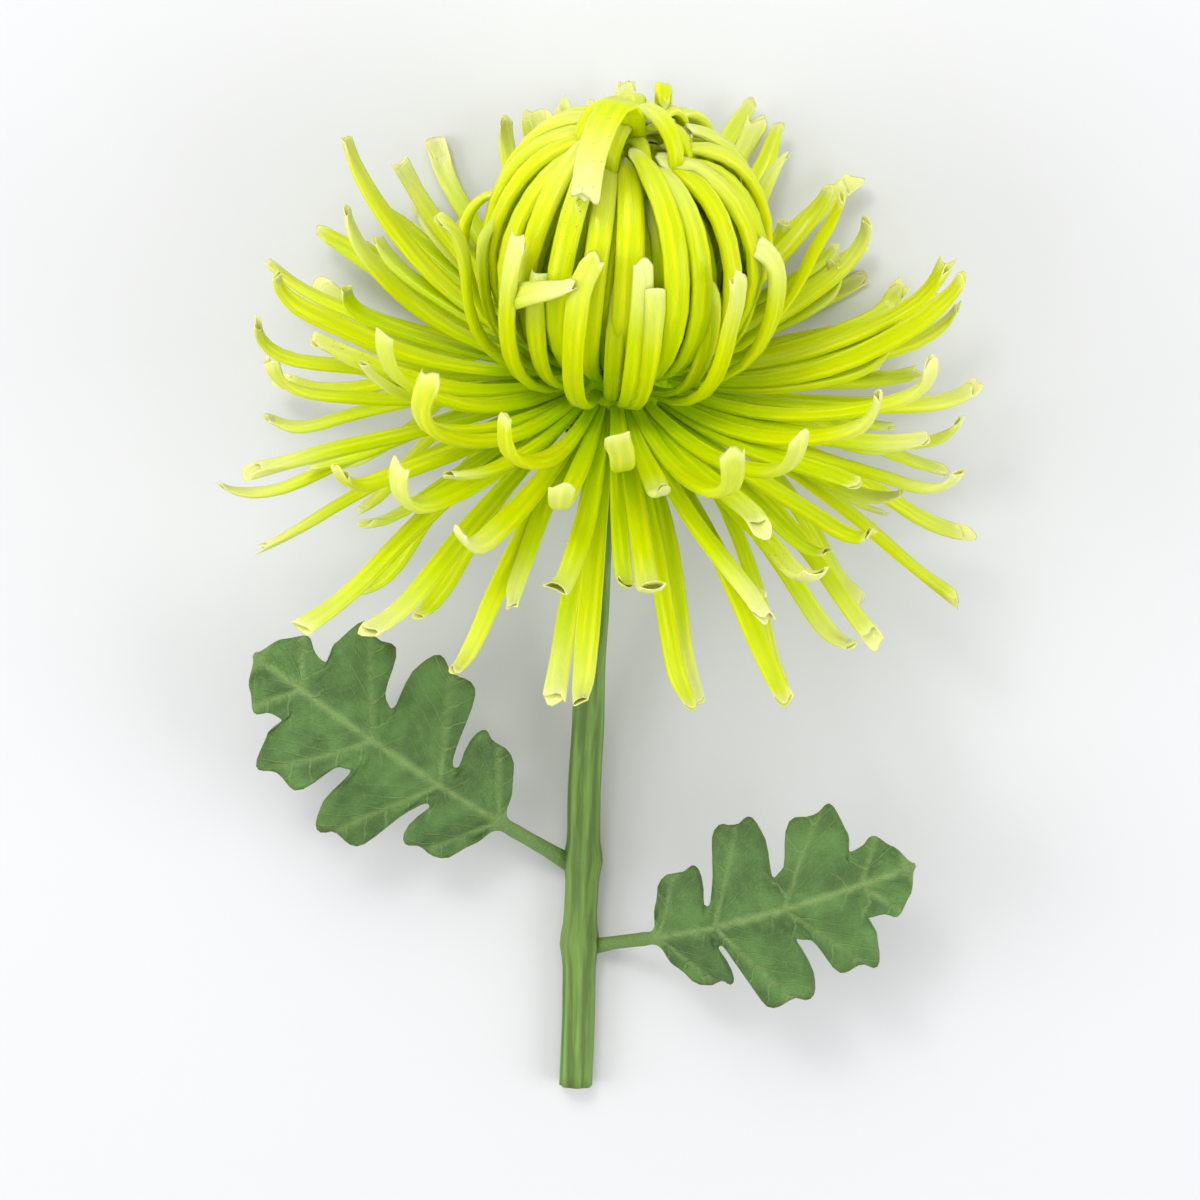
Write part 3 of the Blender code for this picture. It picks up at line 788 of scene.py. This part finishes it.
def floret_material(settings):
    """Satin lime flesh: darker green at the root and far inside the ball, partly its own colour and partly
    painted shade; pale at the open tip; soft lengthwise stripes.
    """
    found = bpy.data.materials.get("floret_flesh")
    if found:
        return found
    made, tree, shader = new_material("floret_flesh", settings.lime)
    grain, (across, inwards, _) = attribute(tree, "grain")
    section, (_, _, along) = attribute(tree, "section")
    _, (share, tone, inside) = attribute(tree, "marks")
    _, (age, paleness, depth) = attribute(tree, "wear")
    fibres = grouped(
        tree, fibres_group(), Grain=grain, Section=section, Ribs=7.0, Stripes=800.0, Strands=3600.0
    )
    # The colour is darker green towards the roots and in the rings low in the ball. This is partly the
    # florets' own colour and partly painted shade
    root = math_node(tree, "MULTIPLY", reverse(tree, ramp(tree, share, 0.02, 0.55)), 0.7)
    deep_and_shade_share = math_node(tree, "MULTIPLY_ADD", depth, 0.6, root, clamp=True)
    colour = mix_colour(tree, deep_and_shade_share, settings.lime, settings.deep_lime_and_shade)
    colour = tinted(tree, colour, tone, 0.40, settings.green)
    # Painted shade in the grooves between the ribs, partly darker vein lines
    colour = tinted(tree, colour, reverse(tree, fibres["Rib"]), 0.20, settings.deep_lime_and_shade)
    # Pale stripes on the rib crests: partly pale veins and partly a painted satin highlight
    colour = tinted(tree, colour, fibres["Stripe"], 0.50, settings.stripe)
    tip = math_node(tree, "MULTIPLY", ramp(tree, share, 0.68, 1.02), paleness)
    for mask, strength in ((tip, 0.75), (ramp(tree, share, 0.95, 1.0), 0.55), (inside, 0.65)):
        colour = tinted(tree, colour, mask, strength, settings.pale)
    faded = math_node(tree, "MULTIPLY", age, ramp(tree, share, 0.25, 0.75))
    streaks = math_node(tree, "MULTIPLY", faded, 0.62)
    wilt = grouped(tree, flecks_group(), Vector=grain, Scale=700.0, Amount=streaks, Softness=0.16)
    colour = tinted(tree, colour, wilt["Fleck"], faded, settings.wilt)
    # Freckles are as long as they are wide, so their place is in true lengths
    skin = node(tree, "ShaderNodeCombineXYZ", {0: across, 1: inwards, 2: along}).outputs[0]
    freckles = math_node(tree, "MULTIPLY", faded, 0.58)
    dots = grouped(tree, flecks_group(), Vector=skin, Scale=1700.0, Amount=freckles, Softness=0.05)
    # The thin walls of the mouth let less light through than the flesh behind them
    thin = ramp(tree, share, 0.84, 0.96)
    set_inputs(tree, shader, {
        "Base Color": tinted(tree, colour, dots["Fleck"], 0.8, settings.bruise),
        "Roughness": math_node(tree, "MULTIPLY_ADD", fibres["Height"], 0.20, 0.32),
        "Specular IOR Level": 0.02,
        "Subsurface Weight": 0.60,
        "Subsurface Radius": (1.0, 0.9, 0.06),
        "Subsurface Scale": math_node(tree, "MULTIPLY_ADD", thin, -0.0027, 0.0032),
        "Coat Weight": 0.42,
        "Coat Roughness": 0.15,
        "Coat IOR": 1.35,
        "Normal": bump(tree, fibres["Height"], 0.45, 0.00026),
    })
    return made


def greenery_material(name, colour, pith=None):
    """Ribbed green skin of the stem and the calyx. The pith is the colour of the stem's cut face."""
    made, tree, shader = new_material(name, colour)
    grain, _ = attribute(tree, "grain")
    _, (pale, cut, rind) = attribute(tree, "marks")
    fibres = grouped(
        tree, fibres_group(), Grain=grain, Section=grain, Ribs=0.0, Stripes=900.0, Strands=3600.0
    )
    darker = tuple(part * 0.62 for part in colour)
    paler = tuple(min(1.0, part * 1.55 + 0.02) for part in colour)
    skin = mix_colour(tree, fibres["Stripe"], darker, colour)
    skin = mix_colour(tree, pale, skin, paler)
    flecks = grouped(tree, flecks_group(), Vector=grain, Scale=1500.0, Amount=0.25, Softness=0.07)
    skin = tinted(tree, skin, flecks["Fleck"], 0.5, GREENERY_FLECK)
    if pith:
        skin = mix_colour(tree, cut, skin, pith)
        skin = mix_colour(tree, rind, skin, STEM_RIND)
    set_inputs(tree, shader, {
        "Base Color": skin,
        "Roughness": math_node(tree, "MULTIPLY_ADD", fibres["Height"], 0.25, 0.42),
        "Specular IOR Level": 0.3,
        "Subsurface Weight": 0.12,
        "Subsurface Radius": (0.7, 1.0, 0.2),
        "Subsurface Scale": 0.001,
        "Normal": bump(tree, fibres["Height"], 0.5, 0.0003),
    })
    return made


def leaf_material(settings):
    """Matt green leaf with a paler underside, side veins that branch, a fine net and soft mottling."""
    found = bpy.data.materials.get("leaf_blade")
    if found:
        return found
    made, tree, shader = new_material("leaf_blade", settings.blade)
    grain, _ = attribute(tree, "grain")
    _, (vein, under, edge) = attribute(tree, "marks")
    _, (from_side_vein, from_midrib, _) = attribute(tree, "branching")
    mottle = noise(tree, grain, 170.0, 5.0)
    slant = math_node(tree, "MULTIPLY_ADD", from_side_vein, -0.8, from_midrib)
    slant = math_node(tree, "MULTIPLY_ADD", slant, 300.0, mottle)
    branch = reverse(tree, ramp(tree, math_node(tree, "PINGPONG", slant, 0.5), 0.015, 0.09))
    near = reverse(tree, ramp(tree, from_side_vein, 0.002, 0.0055))
    branch = math_node(tree, "MULTIPLY", branch, math_node(tree, "MULTIPLY_ADD", near, 0.7, 0.3))
    net = node(tree, "ShaderNodeTexVoronoi", {"Vector": grain, "Scale": 1150.0}, feature="DISTANCE_TO_EDGE")
    netting = reverse(tree, ramp(tree, net.outputs["Distance"], 0.0, 0.12))
    dark = tuple(part * 0.74 for part in settings.blade)
    light = tuple(min(1, part * 1.35 + 0.006) for part in settings.blade)
    colour = mix_colour(tree, ramp(tree, mottle, 0.30, 0.70), dark, light)
    for mask, strength in ((netting, 0.12), (branch, 0.45), (vein, 0.85)):
        colour = tinted(tree, colour, mask, strength, settings.vein)
    underside = tuple(min(1, part * 0.7 + 0.06) for part in settings.vein)
    colour = tinted(tree, colour, under, 0.6, underside)
    relief = math_node(tree, "MULTIPLY", mottle, 0.4)
    relief = math_node(tree, "MULTIPLY_ADD", netting, -0.25, relief)
    relief = math_node(tree, "MULTIPLY_ADD", branch, -0.6, relief)
    set_inputs(tree, shader, {
        "Base Color": tinted(tree, colour, edge, 0.22, LEAF_EDGE),
        "Roughness": math_node(tree, "MULTIPLY_ADD", mottle, 0.25, 0.42),
        "Specular IOR Level": 0.35,
        "Subsurface Weight": 0.08,
        "Subsurface Radius": (0.5, 1.0, 0.2),
        "Subsurface Scale": 0.0008,
        "Normal": bump(tree, relief, 0.7, 0.0004),
    })
    return made


# Calyx, stem and leaves


def marked_shape():
    """An empty bmesh, with the two attributes that all of the flower's materials read."""
    shape = bmesh.new()
    layers = shape.verts.layers.float_vector
    return shape, layers.new("grain"), layers.new("marks")


def spun(shape, profile, steps):
    """Spins a profile of (radius, height) pairs, from axis to axis, round +Z into a closed form."""
    line = [shape.verts.new((radius, 0, height)) for radius, height in profile]
    edges = [shape.edges.new(pair) for pair in zip(line, line[1:])]
    bmesh.ops.spin(
        shape, geom=line + edges, angle=2 * math.pi, steps=steps, axis=(0, 0, 1), cent=(0, 0, 0),
        use_merge=True,
    )
    bmesh.ops.remove_doubles(shape, verts=shape.verts, dist=1e-6)


def core_profile():
    """The receptacle and the core of the ball above it, with a dimple where the heart florets rise."""
    rim_turn = math.asin(CORE_DIMPLE_RADIUS / CORE_RADIUS)
    foot_turn = math.radians(28)
    points = [(0, CORE_DIMPLE_FLOOR), (CORE_DIMPLE_RADIUS * 0.6, CORE_DIMPLE_FLOOR + 0.0008)]
    arc_points = 10
    for number in range(arc_points):
        turn = rim_turn + (math.pi - foot_turn - rim_turn) * number / (arc_points - 1)
        points.append((CORE_RADIUS * math.sin(turn), BALL_CENTRE + CORE_RADIUS * math.cos(turn)))
    points += [
        (RECEPTACLE_RADIUS * 0.78, 0.0015),
        (RECEPTACLE_RADIUS, -RECEPTACLE_DEPTH * 0.45),
        (RECEPTACLE_RADIUS * 0.92, -RECEPTACLE_DEPTH),
        (0, -RECEPTACLE_DEPTH),
    ]
    return points


def make_core(finish):
    """The receptacle that all florets grow from."""
    shape, grain, marks = marked_shape()
    wear = shape.verts.layers.float_vector.new("wear")
    spun(shape, core_profile(), CORE_STEPS)
    for vertex in shape.verts:
        x, y, z = vertex.co
        vertex[grain] = (x, y, z * GRAIN_SHARE)
        # As near a floret's root, in middling tone and darker green. The darker green is partly painted
        # shade for the core, which is seen through the ball's gaps
        vertex[marks] = (0.12, 0.5, 0)
        vertex[wear] = (0, 0, 0.8)
    shape.transform(bloom_to_world())
    bmesh.ops.recalc_face_normals(shape, faces=shape.faces)
    add_piece(shape, "bloom_receptacle", "bloom", finish)


def sheet_with_thickness(shape, stations, columns):
    """Adds a closed sheet one unit long, wide and thick, its upper side at Z = 0, and gives its points."""
    upper = bmesh.ops.create_grid(shape, x_segments=stations, y_segments=columns, size=0.5)["verts"]
    faces = list({face for vertex in upper for face in vertex.link_faces})
    grown = bmesh.ops.extrude_face_region(shape, geom=faces)["geom"]
    lower = [item for item in grown if isinstance(item, bmesh.types.BMVert)]
    bmesh.ops.translate(shape, verts=lower, vec=(0, 0, -1))
    return list(upper) + lower


def bract_form(shape, grain, marks, place, length, width):
    """One keeled pointed bract, thin at its pale edge, laid in its own frame with its tip at +X."""
    sheet = sheet_with_thickness(shape, BRACT_STATIONS, BRACT_COLUMNS)
    seed = place.translation.copy()
    for vertex in sheet:
        x, y, layer = vertex.co
        share = x + 0.5
        side = y * 2
        outline = math.sin(math.pi * min(1.0, 0.22 + share * 0.78)) ** 0.8
        keel = (1 - abs(side)) ** 1.5 * BRACT_KEEL
        curve = 0.0009 * (share - 0.3) ** 2 - 0.00045 * side * side
        depth = layer * BRACT_THICKNESS * (1 - 0.7 * side * side)
        pale = smooth_step(0.72, 1.0, abs(side)) * 0.9 + smooth_step(0.86, 1.0, share) * 0.5
        vertex[grain] = seed + Vector((side * width / 2, keel, share * length * GRAIN_SHARE))
        vertex[marks] = (pale, 0, 0)
        vertex.co = Vector((share * length, side * width / 2 * max(outline, 0.04), keel + curve + depth))
    bmesh.ops.transform(shape, matrix=place, verts=sheet)


def make_calyx(finish):
    """A cup with three rows of overlapping bracts."""
    shape, grain, marks = marked_shape()
    top = -RECEPTACLE_DEPTH - JOINT_GAP
    bottom = top - CALYX_DEPTH
    profile = (
        (0, top), (CALYX_RADIUS * 0.93, top), (CALYX_RADIUS * 0.98, top - CALYX_DEPTH * 0.12),
        (CALYX_RADIUS * 0.84, top - CALYX_DEPTH * 0.45), (CALYX_RADIUS * 0.50, top - CALYX_DEPTH * 0.78),
        (NECK_RADIUS * 1.15, bottom), (0, bottom),
    )
    spun(shape, profile, CALYX_STEPS)
    for vertex in shape.verts:
        x, y, z = vertex.co
        vertex[grain] = (x, y, z * CALYX_GRAIN_SHARE)
    draws = random.Random(SEED)
    for row in BRACT_ROWS:
        height = CALYX_DEPTH * row.height - row.length * 0.62 * math.sin(math.radians(row.lean))
        radius = CALYX_RADIUS * value_at(CALYX_SWELL, max(0.0, height / CALYX_DEPTH))
        foot = Matrix.Translation((radius, 0, bottom + height))
        for number in range(row.count):
            azimuth = 2 * math.pi * (number + row.first + draws.uniform(-0.12, 0.12)) / row.count
            lean = math.radians(row.lean + draws.uniform(-5, 5))
            place = Matrix.Rotation(azimuth, 4, "Z") @ foot @ Matrix.Rotation(-lean, 4, "Y")
            bract_form(shape, grain, marks, place, row.length * draws.uniform(0.92, 1.08), row.width)
    shape.transform(bloom_to_world())
    bmesh.ops.recalc_face_normals(shape, faces=shape.faces)
    add_piece(shape, "calyx_bracts", "calyx", finish)


def stem_point(share):
    """A point along the stem, from the calyx down to the surface and along it to the cut end."""
    axis = (bloom_to_world().to_3x3() @ Vector((0, 0, 1))).normalized()
    neck = SEAT - axis * (RECEPTACLE_DEPTH + CALYX_DEPTH + 2 * JOINT_GAP)
    first_handle = neck - axis * NECK_HANDLE
    second_handle = Vector((*END_HANDLE, STEM_END.z))
    rest = 1 - share
    return (
        neck * rest**3
        + first_handle * 3 * rest**2 * share
        + second_handle * 3 * rest * share**2
        + STEM_END * share**3
    )


def stem_radius(share):
    return NECK_RADIUS + (STEM_RADIUS - NECK_RADIUS) * min(1.0, share * 1.6)


def make_stem(settings, finish):
    """A ribbed stem with a swelling at each leaf and a cut face with pale pith."""
    shape, grain, marks = marked_shape()
    bmesh.ops.create_circle(shape, cap_ends=True, segments=STEM_SIDES, radius=1)
    rim = list(shape.edges)
    for _ in range(STEM_STATIONS):
        rim = grow_rim(shape, rim, 1 / STEM_STATIONS)
    for rise, spread in CUT_FACE:
        rim = grow_rim(shape, rim, rise, spread)
    bmesh.ops.edgeloop_fill(shape, edges=rim)
    for vertex in shape.verts:
        x, y, share = vertex.co
        radius = math.hypot(x, y)
        angle = math.atan2(y, x)
        on_skin = min(share, 1.0)
        ahead = stem_point(min(on_skin + 0.01, 1.0))
        heading = (ahead - stem_point(max(on_skin - 0.01, 0.0))).normalized()
        across = heading.cross(Vector((0, 0, 1))).normalized()
        upwards = across.cross(heading)
        girth = stem_radius(on_skin)
        rib = math.cos(settings.ribs * angle + share * RIB_TWIST)
        swell = sum(NODE_SWELL * math.exp(-(((share - leaf.along) / NODE_REACH) ** 2)) for leaf in LEAVES)
        wobble = STEM_WOBBLE * math.sin(share * 31 + 1.3) * math.cos(angle)
        relief = (settings.rib_height * rib + swell + wobble) * (1 if radius > 0.9 else 0.4)
        reach = (girth + relief) * min(radius, 1.0)
        centre = stem_point(on_skin) + heading * (share - on_skin) * STEM_LENGTH
        place = centre + across * (math.cos(angle) * reach) + upwards * (math.sin(angle) * reach)
        place.z = max(place.z, TABLE_GAP)
        vertex.co = place
        cut = share > CUT_START and radius < CUT_RADIUS
        rind = cut and radius > PITH_RADIUS
        vertex[grain] = (math.cos(angle) * girth, math.sin(angle) * girth, share * STEM_GRAIN_LENGTH)
        vertex[marks] = (0.35 * max(0.0, rib), cut, rind)
    bmesh.ops.recalc_face_normals(shape, faces=shape.faces)
    add_piece(shape, "stem_ribbed", "stem", finish)


def outline_at(share):
    """Half-width and forward shift of the blade's edge at a share of its length, smoothed."""
    stations = LEAF_OUTLINE
    index = max(i for i, station in enumerate(stations) if station[0] <= share + 1e-9)
    index = min(index, len(stations) - 2)
    before, low = stations[max(index - 1, 0)], stations[index]
    high, after = stations[index + 1], stations[min(index + 2, len(stations) - 1)]
    t = (share - low[0]) / (high[0] - low[0])
    smooth = []
    for part in (1, 2):
        a, b, c, d = before[part], low[part], high[part], after[part]
        smooth.append(b + 0.5 * t * (c - a + t * (2 * a - 5 * b + 4 * c - d + t * (3 * (b - c) + d - a))))
    return max(smooth[0], 0.03), smooth[1]


def leaf_veins(leaf, share, along, across, half_width):
    """How much of a vein there is at a place on the leaf, and how far off the nearest side vein is."""
    midrib = math.exp(-((across / MIDRIB_WIDTH) ** 2)) * smooth_step(0.18, 0.24, share)
    beside = abs(across) / (leaf.width / 2)
    nearest = min(abs(along - start - run * beside) for start, run in SIDE_VEINS)
    side_vein = math.exp(-((nearest / SIDE_VEIN_WIDTH) ** 2)) * (1 - 0.45 * beside)
    return max(midrib, 0.9 * side_vein * smooth_step(0.10, 0.18, half_width)), nearest


def make_leaf(leaf, settings, finish):
    """A lobed and toothed blade on its petiole, with sunken veins, arched and waved."""
    shape, grain, marks = marked_shape()
    branching = shape.verts.layers.float_vector.new("branching")
    seed = 1.0 + leaf.heading
    heading = math.radians(leaf.heading)
    for vertex in sheet_with_thickness(shape, LEAF_STATIONS, LEAF_COLUMNS):
        share, side, layer = vertex.co.x + 0.5, vertex.co.y * 2, vertex.co.z
        reach = abs(side)
        half_width, forward = outline_at(share)
        blade = smooth_step(0.10, 0.24, half_width)
        tooth = math.sin(share * LEAF_TEETH_TURN + seed) * smooth_step(0.25, 0.5, half_width) * reach**4
        along = share + forward * reach
        across = side * (half_width + LEAF_TOOTH * tooth) * leaf.width / 2
        vein, nearest = leaf_veins(leaf, share, along, across, half_width)
        arch = leaf.arch * math.sin(math.pi * min(1.0, along * 0.92))
        fall = LEAF_FALL * leaf.width * reach * half_width
        wave = LEAF_WAVE * math.sin(along * LEAF_WAVE_TURN + side * 2) * reach * min(1.0, half_width * 2)
        pucker = LEAF_PUCKER * math.sin(along * LEAF_PUCKER_TURN + side * 5) * math.sin(side * 14 + seed)
        thickness = settings.blade_thickness * (1.0 + 0.6 * (1 - blade)) * (1 - 0.6 * reach**6)
        bulge = PETIOLE_BULGE * math.sqrt(max(0.0, 1 - side * side)) * (1 if layer == 0 else -1)
        height = arch - fall + wave + layer * thickness
        height += blade * (pucker - VEIN_DEPTH * vein) + (1 - blade) * bulge
        foot = 1 - smooth_step(0.0, 0.06, share)
        across *= 1 + 0.2 * foot
        into_stem = foot * (PETIOLE_REACH - across * math.tan(heading))
        vertex.co = (along * leaf.length - into_stem, across, height)
        vertex[grain] = (along * leaf.length + seed, across, 0)
        vertex[marks] = (vein * blade + (1 - blade) * 0.6, -layer, smooth_step(0.93, 1.0, reach) * blade)
        vertex[branching] = (nearest * leaf.length, abs(across), 0)
    aside = Vector((math.copysign(1, math.cos(heading)), 0, 0))
    root = stem_point(leaf.along) + aside * (stem_radius(leaf.along) + LEAF_ROOT_GAP)
    turn = Matrix.Rotation(heading, 4, "Z") @ Matrix.Rotation(-math.radians(leaf.lift), 4, "Y")
    shape.transform(Matrix.Translation(root) @ turn)
    bmesh.ops.recalc_face_normals(shape, faces=shape.faces)
    add_piece(shape, f"{leaf.name}_blade", leaf.name, finish)


# Operators


class CHRYSANTHEMUM_OT_heart(Operator):
    """Grow the receptacle and the small curled florets in the heart of the bloom"""

    bl_idname = "chrysanthemum.heart"
    bl_label = "Heart"

    def execute(self, context):
        settings = context.scene.chrysanthemum_florets
        make_core(floret_material(settings))
        grow_rings("bloom_heart", HEART_RINGS, settings)
        return {"FINISHED"}


class CHRYSANTHEMUM_OT_ball(Operator):
    """Grow the ball of incurved florets and the strays that lie over it"""

    bl_idname = "chrysanthemum.ball"
    bl_label = "Ball"

    def execute(self, context):
        settings = context.scene.chrysanthemum_florets
        grow_rings("bloom_ball", BALL_RINGS, settings)
        grow_rings("bloom_strays", STRAY_RINGS, settings)
        return {"FINISHED"}


class CHRYSANTHEMUM_OT_spreading(Operator):
    """Grow the florets that rise round the ball and spread from it"""

    bl_idname = "chrysanthemum.spreading"
    bl_label = "Spreading florets"

    def execute(self, context):
        settings = context.scene.chrysanthemum_florets
        grow_rings("bloom_risers", RISING_RINGS, settings)
        grow_rings("bloom_spreaders", SPREADING_RINGS, settings)
        return {"FINISHED"}


class CHRYSANTHEMUM_OT_drooping(Operator):
    """Grow the florets that droop behind the bloom and lie on the table"""

    bl_idname = "chrysanthemum.drooping"
    bl_label = "Drooping florets"

    def execute(self, context):
        grow_rings("bloom_droopers", DROOPING_RINGS, context.scene.chrysanthemum_florets)
        return {"FINISHED"}


class CHRYSANTHEMUM_OT_calyx(Operator):
    """Build the calyx with its overlapping bracts"""

    bl_idname = "chrysanthemum.calyx"
    bl_label = "Calyx"

    def execute(self, context):
        settings = context.scene.chrysanthemum_greenery
        make_calyx(greenery_material("bract_green", settings.bract))
        return {"FINISHED"}


class CHRYSANTHEMUM_OT_stem(Operator):
    """Build the ribbed stem with its cut end"""

    bl_idname = "chrysanthemum.stem"
    bl_label = "Stem"

    def execute(self, context):
        settings = context.scene.chrysanthemum_greenery
        make_stem(settings, greenery_material("stalk_green", settings.stalk, settings.pith))
        return {"FINISHED"}


class CHRYSANTHEMUM_OT_leaves(Operator):
    """Build the lobed leaves"""

    bl_idname = "chrysanthemum.leaves"
    bl_label = "Leaves"

    def execute(self, context):
        settings = context.scene.chrysanthemum_greenery
        for leaf in LEAVES:
            make_leaf(leaf, settings, leaf_material(settings))
        return {"FINISHED"}


# Stage

TABLE_REACH = 3
# Each light's place, its diameter, and the setting that holds its power
LIGHTS = {
    "key": ((-0.22, 0.62, 0.85), 0.75, "key_power"),
    "glint": ((-0.30, 0.45, 0.80), 0.20, "glint_power"),
    "fill_left": ((-0.85, -0.15, 0.60), 0.70, "fill_power"),
    "fill_right": ((0.85, -0.10, 0.55), 0.70, "fill_power"),
}
LIT_POINT = Vector((0.0, 0.0, 0.03))
SKY_COLOUR = (0.97, 0.98, 1.0)
LOOKED_AT = Vector((0.0015, 0.0, 0.03))
SENSOR_WIDTH = 36


def make_table(settings):
    shape = bmesh.new()
    bmesh.ops.create_grid(shape, x_segments=1, y_segments=1, size=TABLE_REACH)
    mesh = bpy.data.meshes.new("table_top")
    shape.to_mesh(mesh)
    shape.free()
    paint, tree, shader = new_material("table_paint", settings.table)
    set_inputs(tree, shader, {"Base Color": settings.table, "Roughness": 0.85, "Specular IOR Level": 0.2})
    mesh.materials.append(paint)
    floor = add_object("table_top", mesh)


def soft_light(name, place, size, power):
    data = bpy.data.lights.new(name, "AREA")
    data.shape = "DISK"
    data.size = size
    data.energy = power
    light = add_object(name, data)
    light.location = place
    light.rotation_euler = (LIT_POINT - Vector(place)).to_track_quat("-Z", "Y").to_euler()


def even_sky(strength):
    """Light from all round, and plain colours in the picture."""
    world = bpy.data.worlds.new("even_light")
    world.use_nodes = True
    background = world.node_tree.nodes["Background"]
    set_inputs(world.node_tree, background, {"Color": SKY_COLOUR, "Strength": strength})
    scene = bpy.context.scene
    scene.world = world
    scene.view_settings.view_transform = "Standard"
    scene.view_settings.look = "None"


def make_camera(settings):
    """A camera that looks down on the flower, rolled so that the flower leans in the picture."""
    data = bpy.data.cameras.new("camera")
    data.lens = settings.lens
    data.sensor_width = SENSOR_WIDTH
    data.clip_start = 0.01
    back = Vector((0, math.cos(settings.look_down), math.sin(settings.look_down)))
    upward = Vector((-math.sin(settings.roll), math.cos(settings.roll), 0))
    right = upward.cross(back).normalized()
    place = Matrix((right, back.cross(right), back)).transposed().to_4x4()
    place.translation = LOOKED_AT + back * settings.distance
    camera = add_object("camera", data)
    camera.matrix_world = place
    bpy.context.scene.camera = camera


class CHRYSANTHEMUM_OT_stage(Operator):
    """Set up the table, the lights and the camera"""

    bl_idname = "chrysanthemum.stage"
    bl_label = "Stage"

    def execute(self, context):
        settings = context.scene.chrysanthemum_stage
        make_table(settings)
        for name, (place, size, power) in LIGHTS.items():
            soft_light(name, place, size, getattr(settings, power))
        even_sky(settings.sky)
        make_camera(settings)
        return {"FINISHED"}


class CHRYSANTHEMUM_PT_panel(Panel):
    """Lists the flower's pieces and settings"""

    bl_label = "Spider Chrysanthemum"
    bl_idname = "CHRYSANTHEMUM_PT_panel"
    bl_space_type = "VIEW_3D"
    bl_region_type = "UI"
    bl_category = "Chrysanthemum"

    def draw(self, context):
        layout = self.layout
        groups = (
            ("chrysanthemum_florets", FloretSettings, ("heart", "ball", "spreading", "drooping")),
            ("chrysanthemum_greenery", GreenerySettings, ("calyx", "stem", "leaves")),
            ("chrysanthemum_stage", StageSettings, ("stage",)),
        )
        for pointer, settings, operators in groups:
            box = layout.box()
            for name in operators:
                box.operator(f"chrysanthemum.{name}")
            for name in settings.__annotations__:
                box.prop(getattr(context.scene, pointer), name)


CLASSES = (
    FloretSettings,
    GreenerySettings,
    StageSettings,
    CHRYSANTHEMUM_OT_heart,
    CHRYSANTHEMUM_OT_ball,
    CHRYSANTHEMUM_OT_spreading,
    CHRYSANTHEMUM_OT_drooping,
    CHRYSANTHEMUM_OT_calyx,
    CHRYSANTHEMUM_OT_stem,
    CHRYSANTHEMUM_OT_leaves,
    CHRYSANTHEMUM_OT_stage,
    CHRYSANTHEMUM_PT_panel,
)


def register():
    for cls in CLASSES:
        bpy.utils.register_class(cls)
    bpy.types.Scene.chrysanthemum_florets = PointerProperty(type=FloretSettings)
    bpy.types.Scene.chrysanthemum_greenery = PointerProperty(type=GreenerySettings)
    bpy.types.Scene.chrysanthemum_stage = PointerProperty(type=StageSettings)


def unregister():
    del bpy.types.Scene.chrysanthemum_stage
    del bpy.types.Scene.chrysanthemum_greenery
    del bpy.types.Scene.chrysanthemum_florets
    for cls in reversed(CLASSES):
        bpy.utils.unregister_class(cls)


def main():
    register()
    bpy.ops.chrysanthemum.stage()
    bpy.ops.chrysanthemum.heart()
    bpy.ops.chrysanthemum.ball()
    bpy.ops.chrysanthemum.spreading()
    bpy.ops.chrysanthemum.drooping()
    bpy.ops.chrysanthemum.calyx()
    bpy.ops.chrysanthemum.stem()
    bpy.ops.chrysanthemum.leaves()


if __name__ == "__main__":
    main()
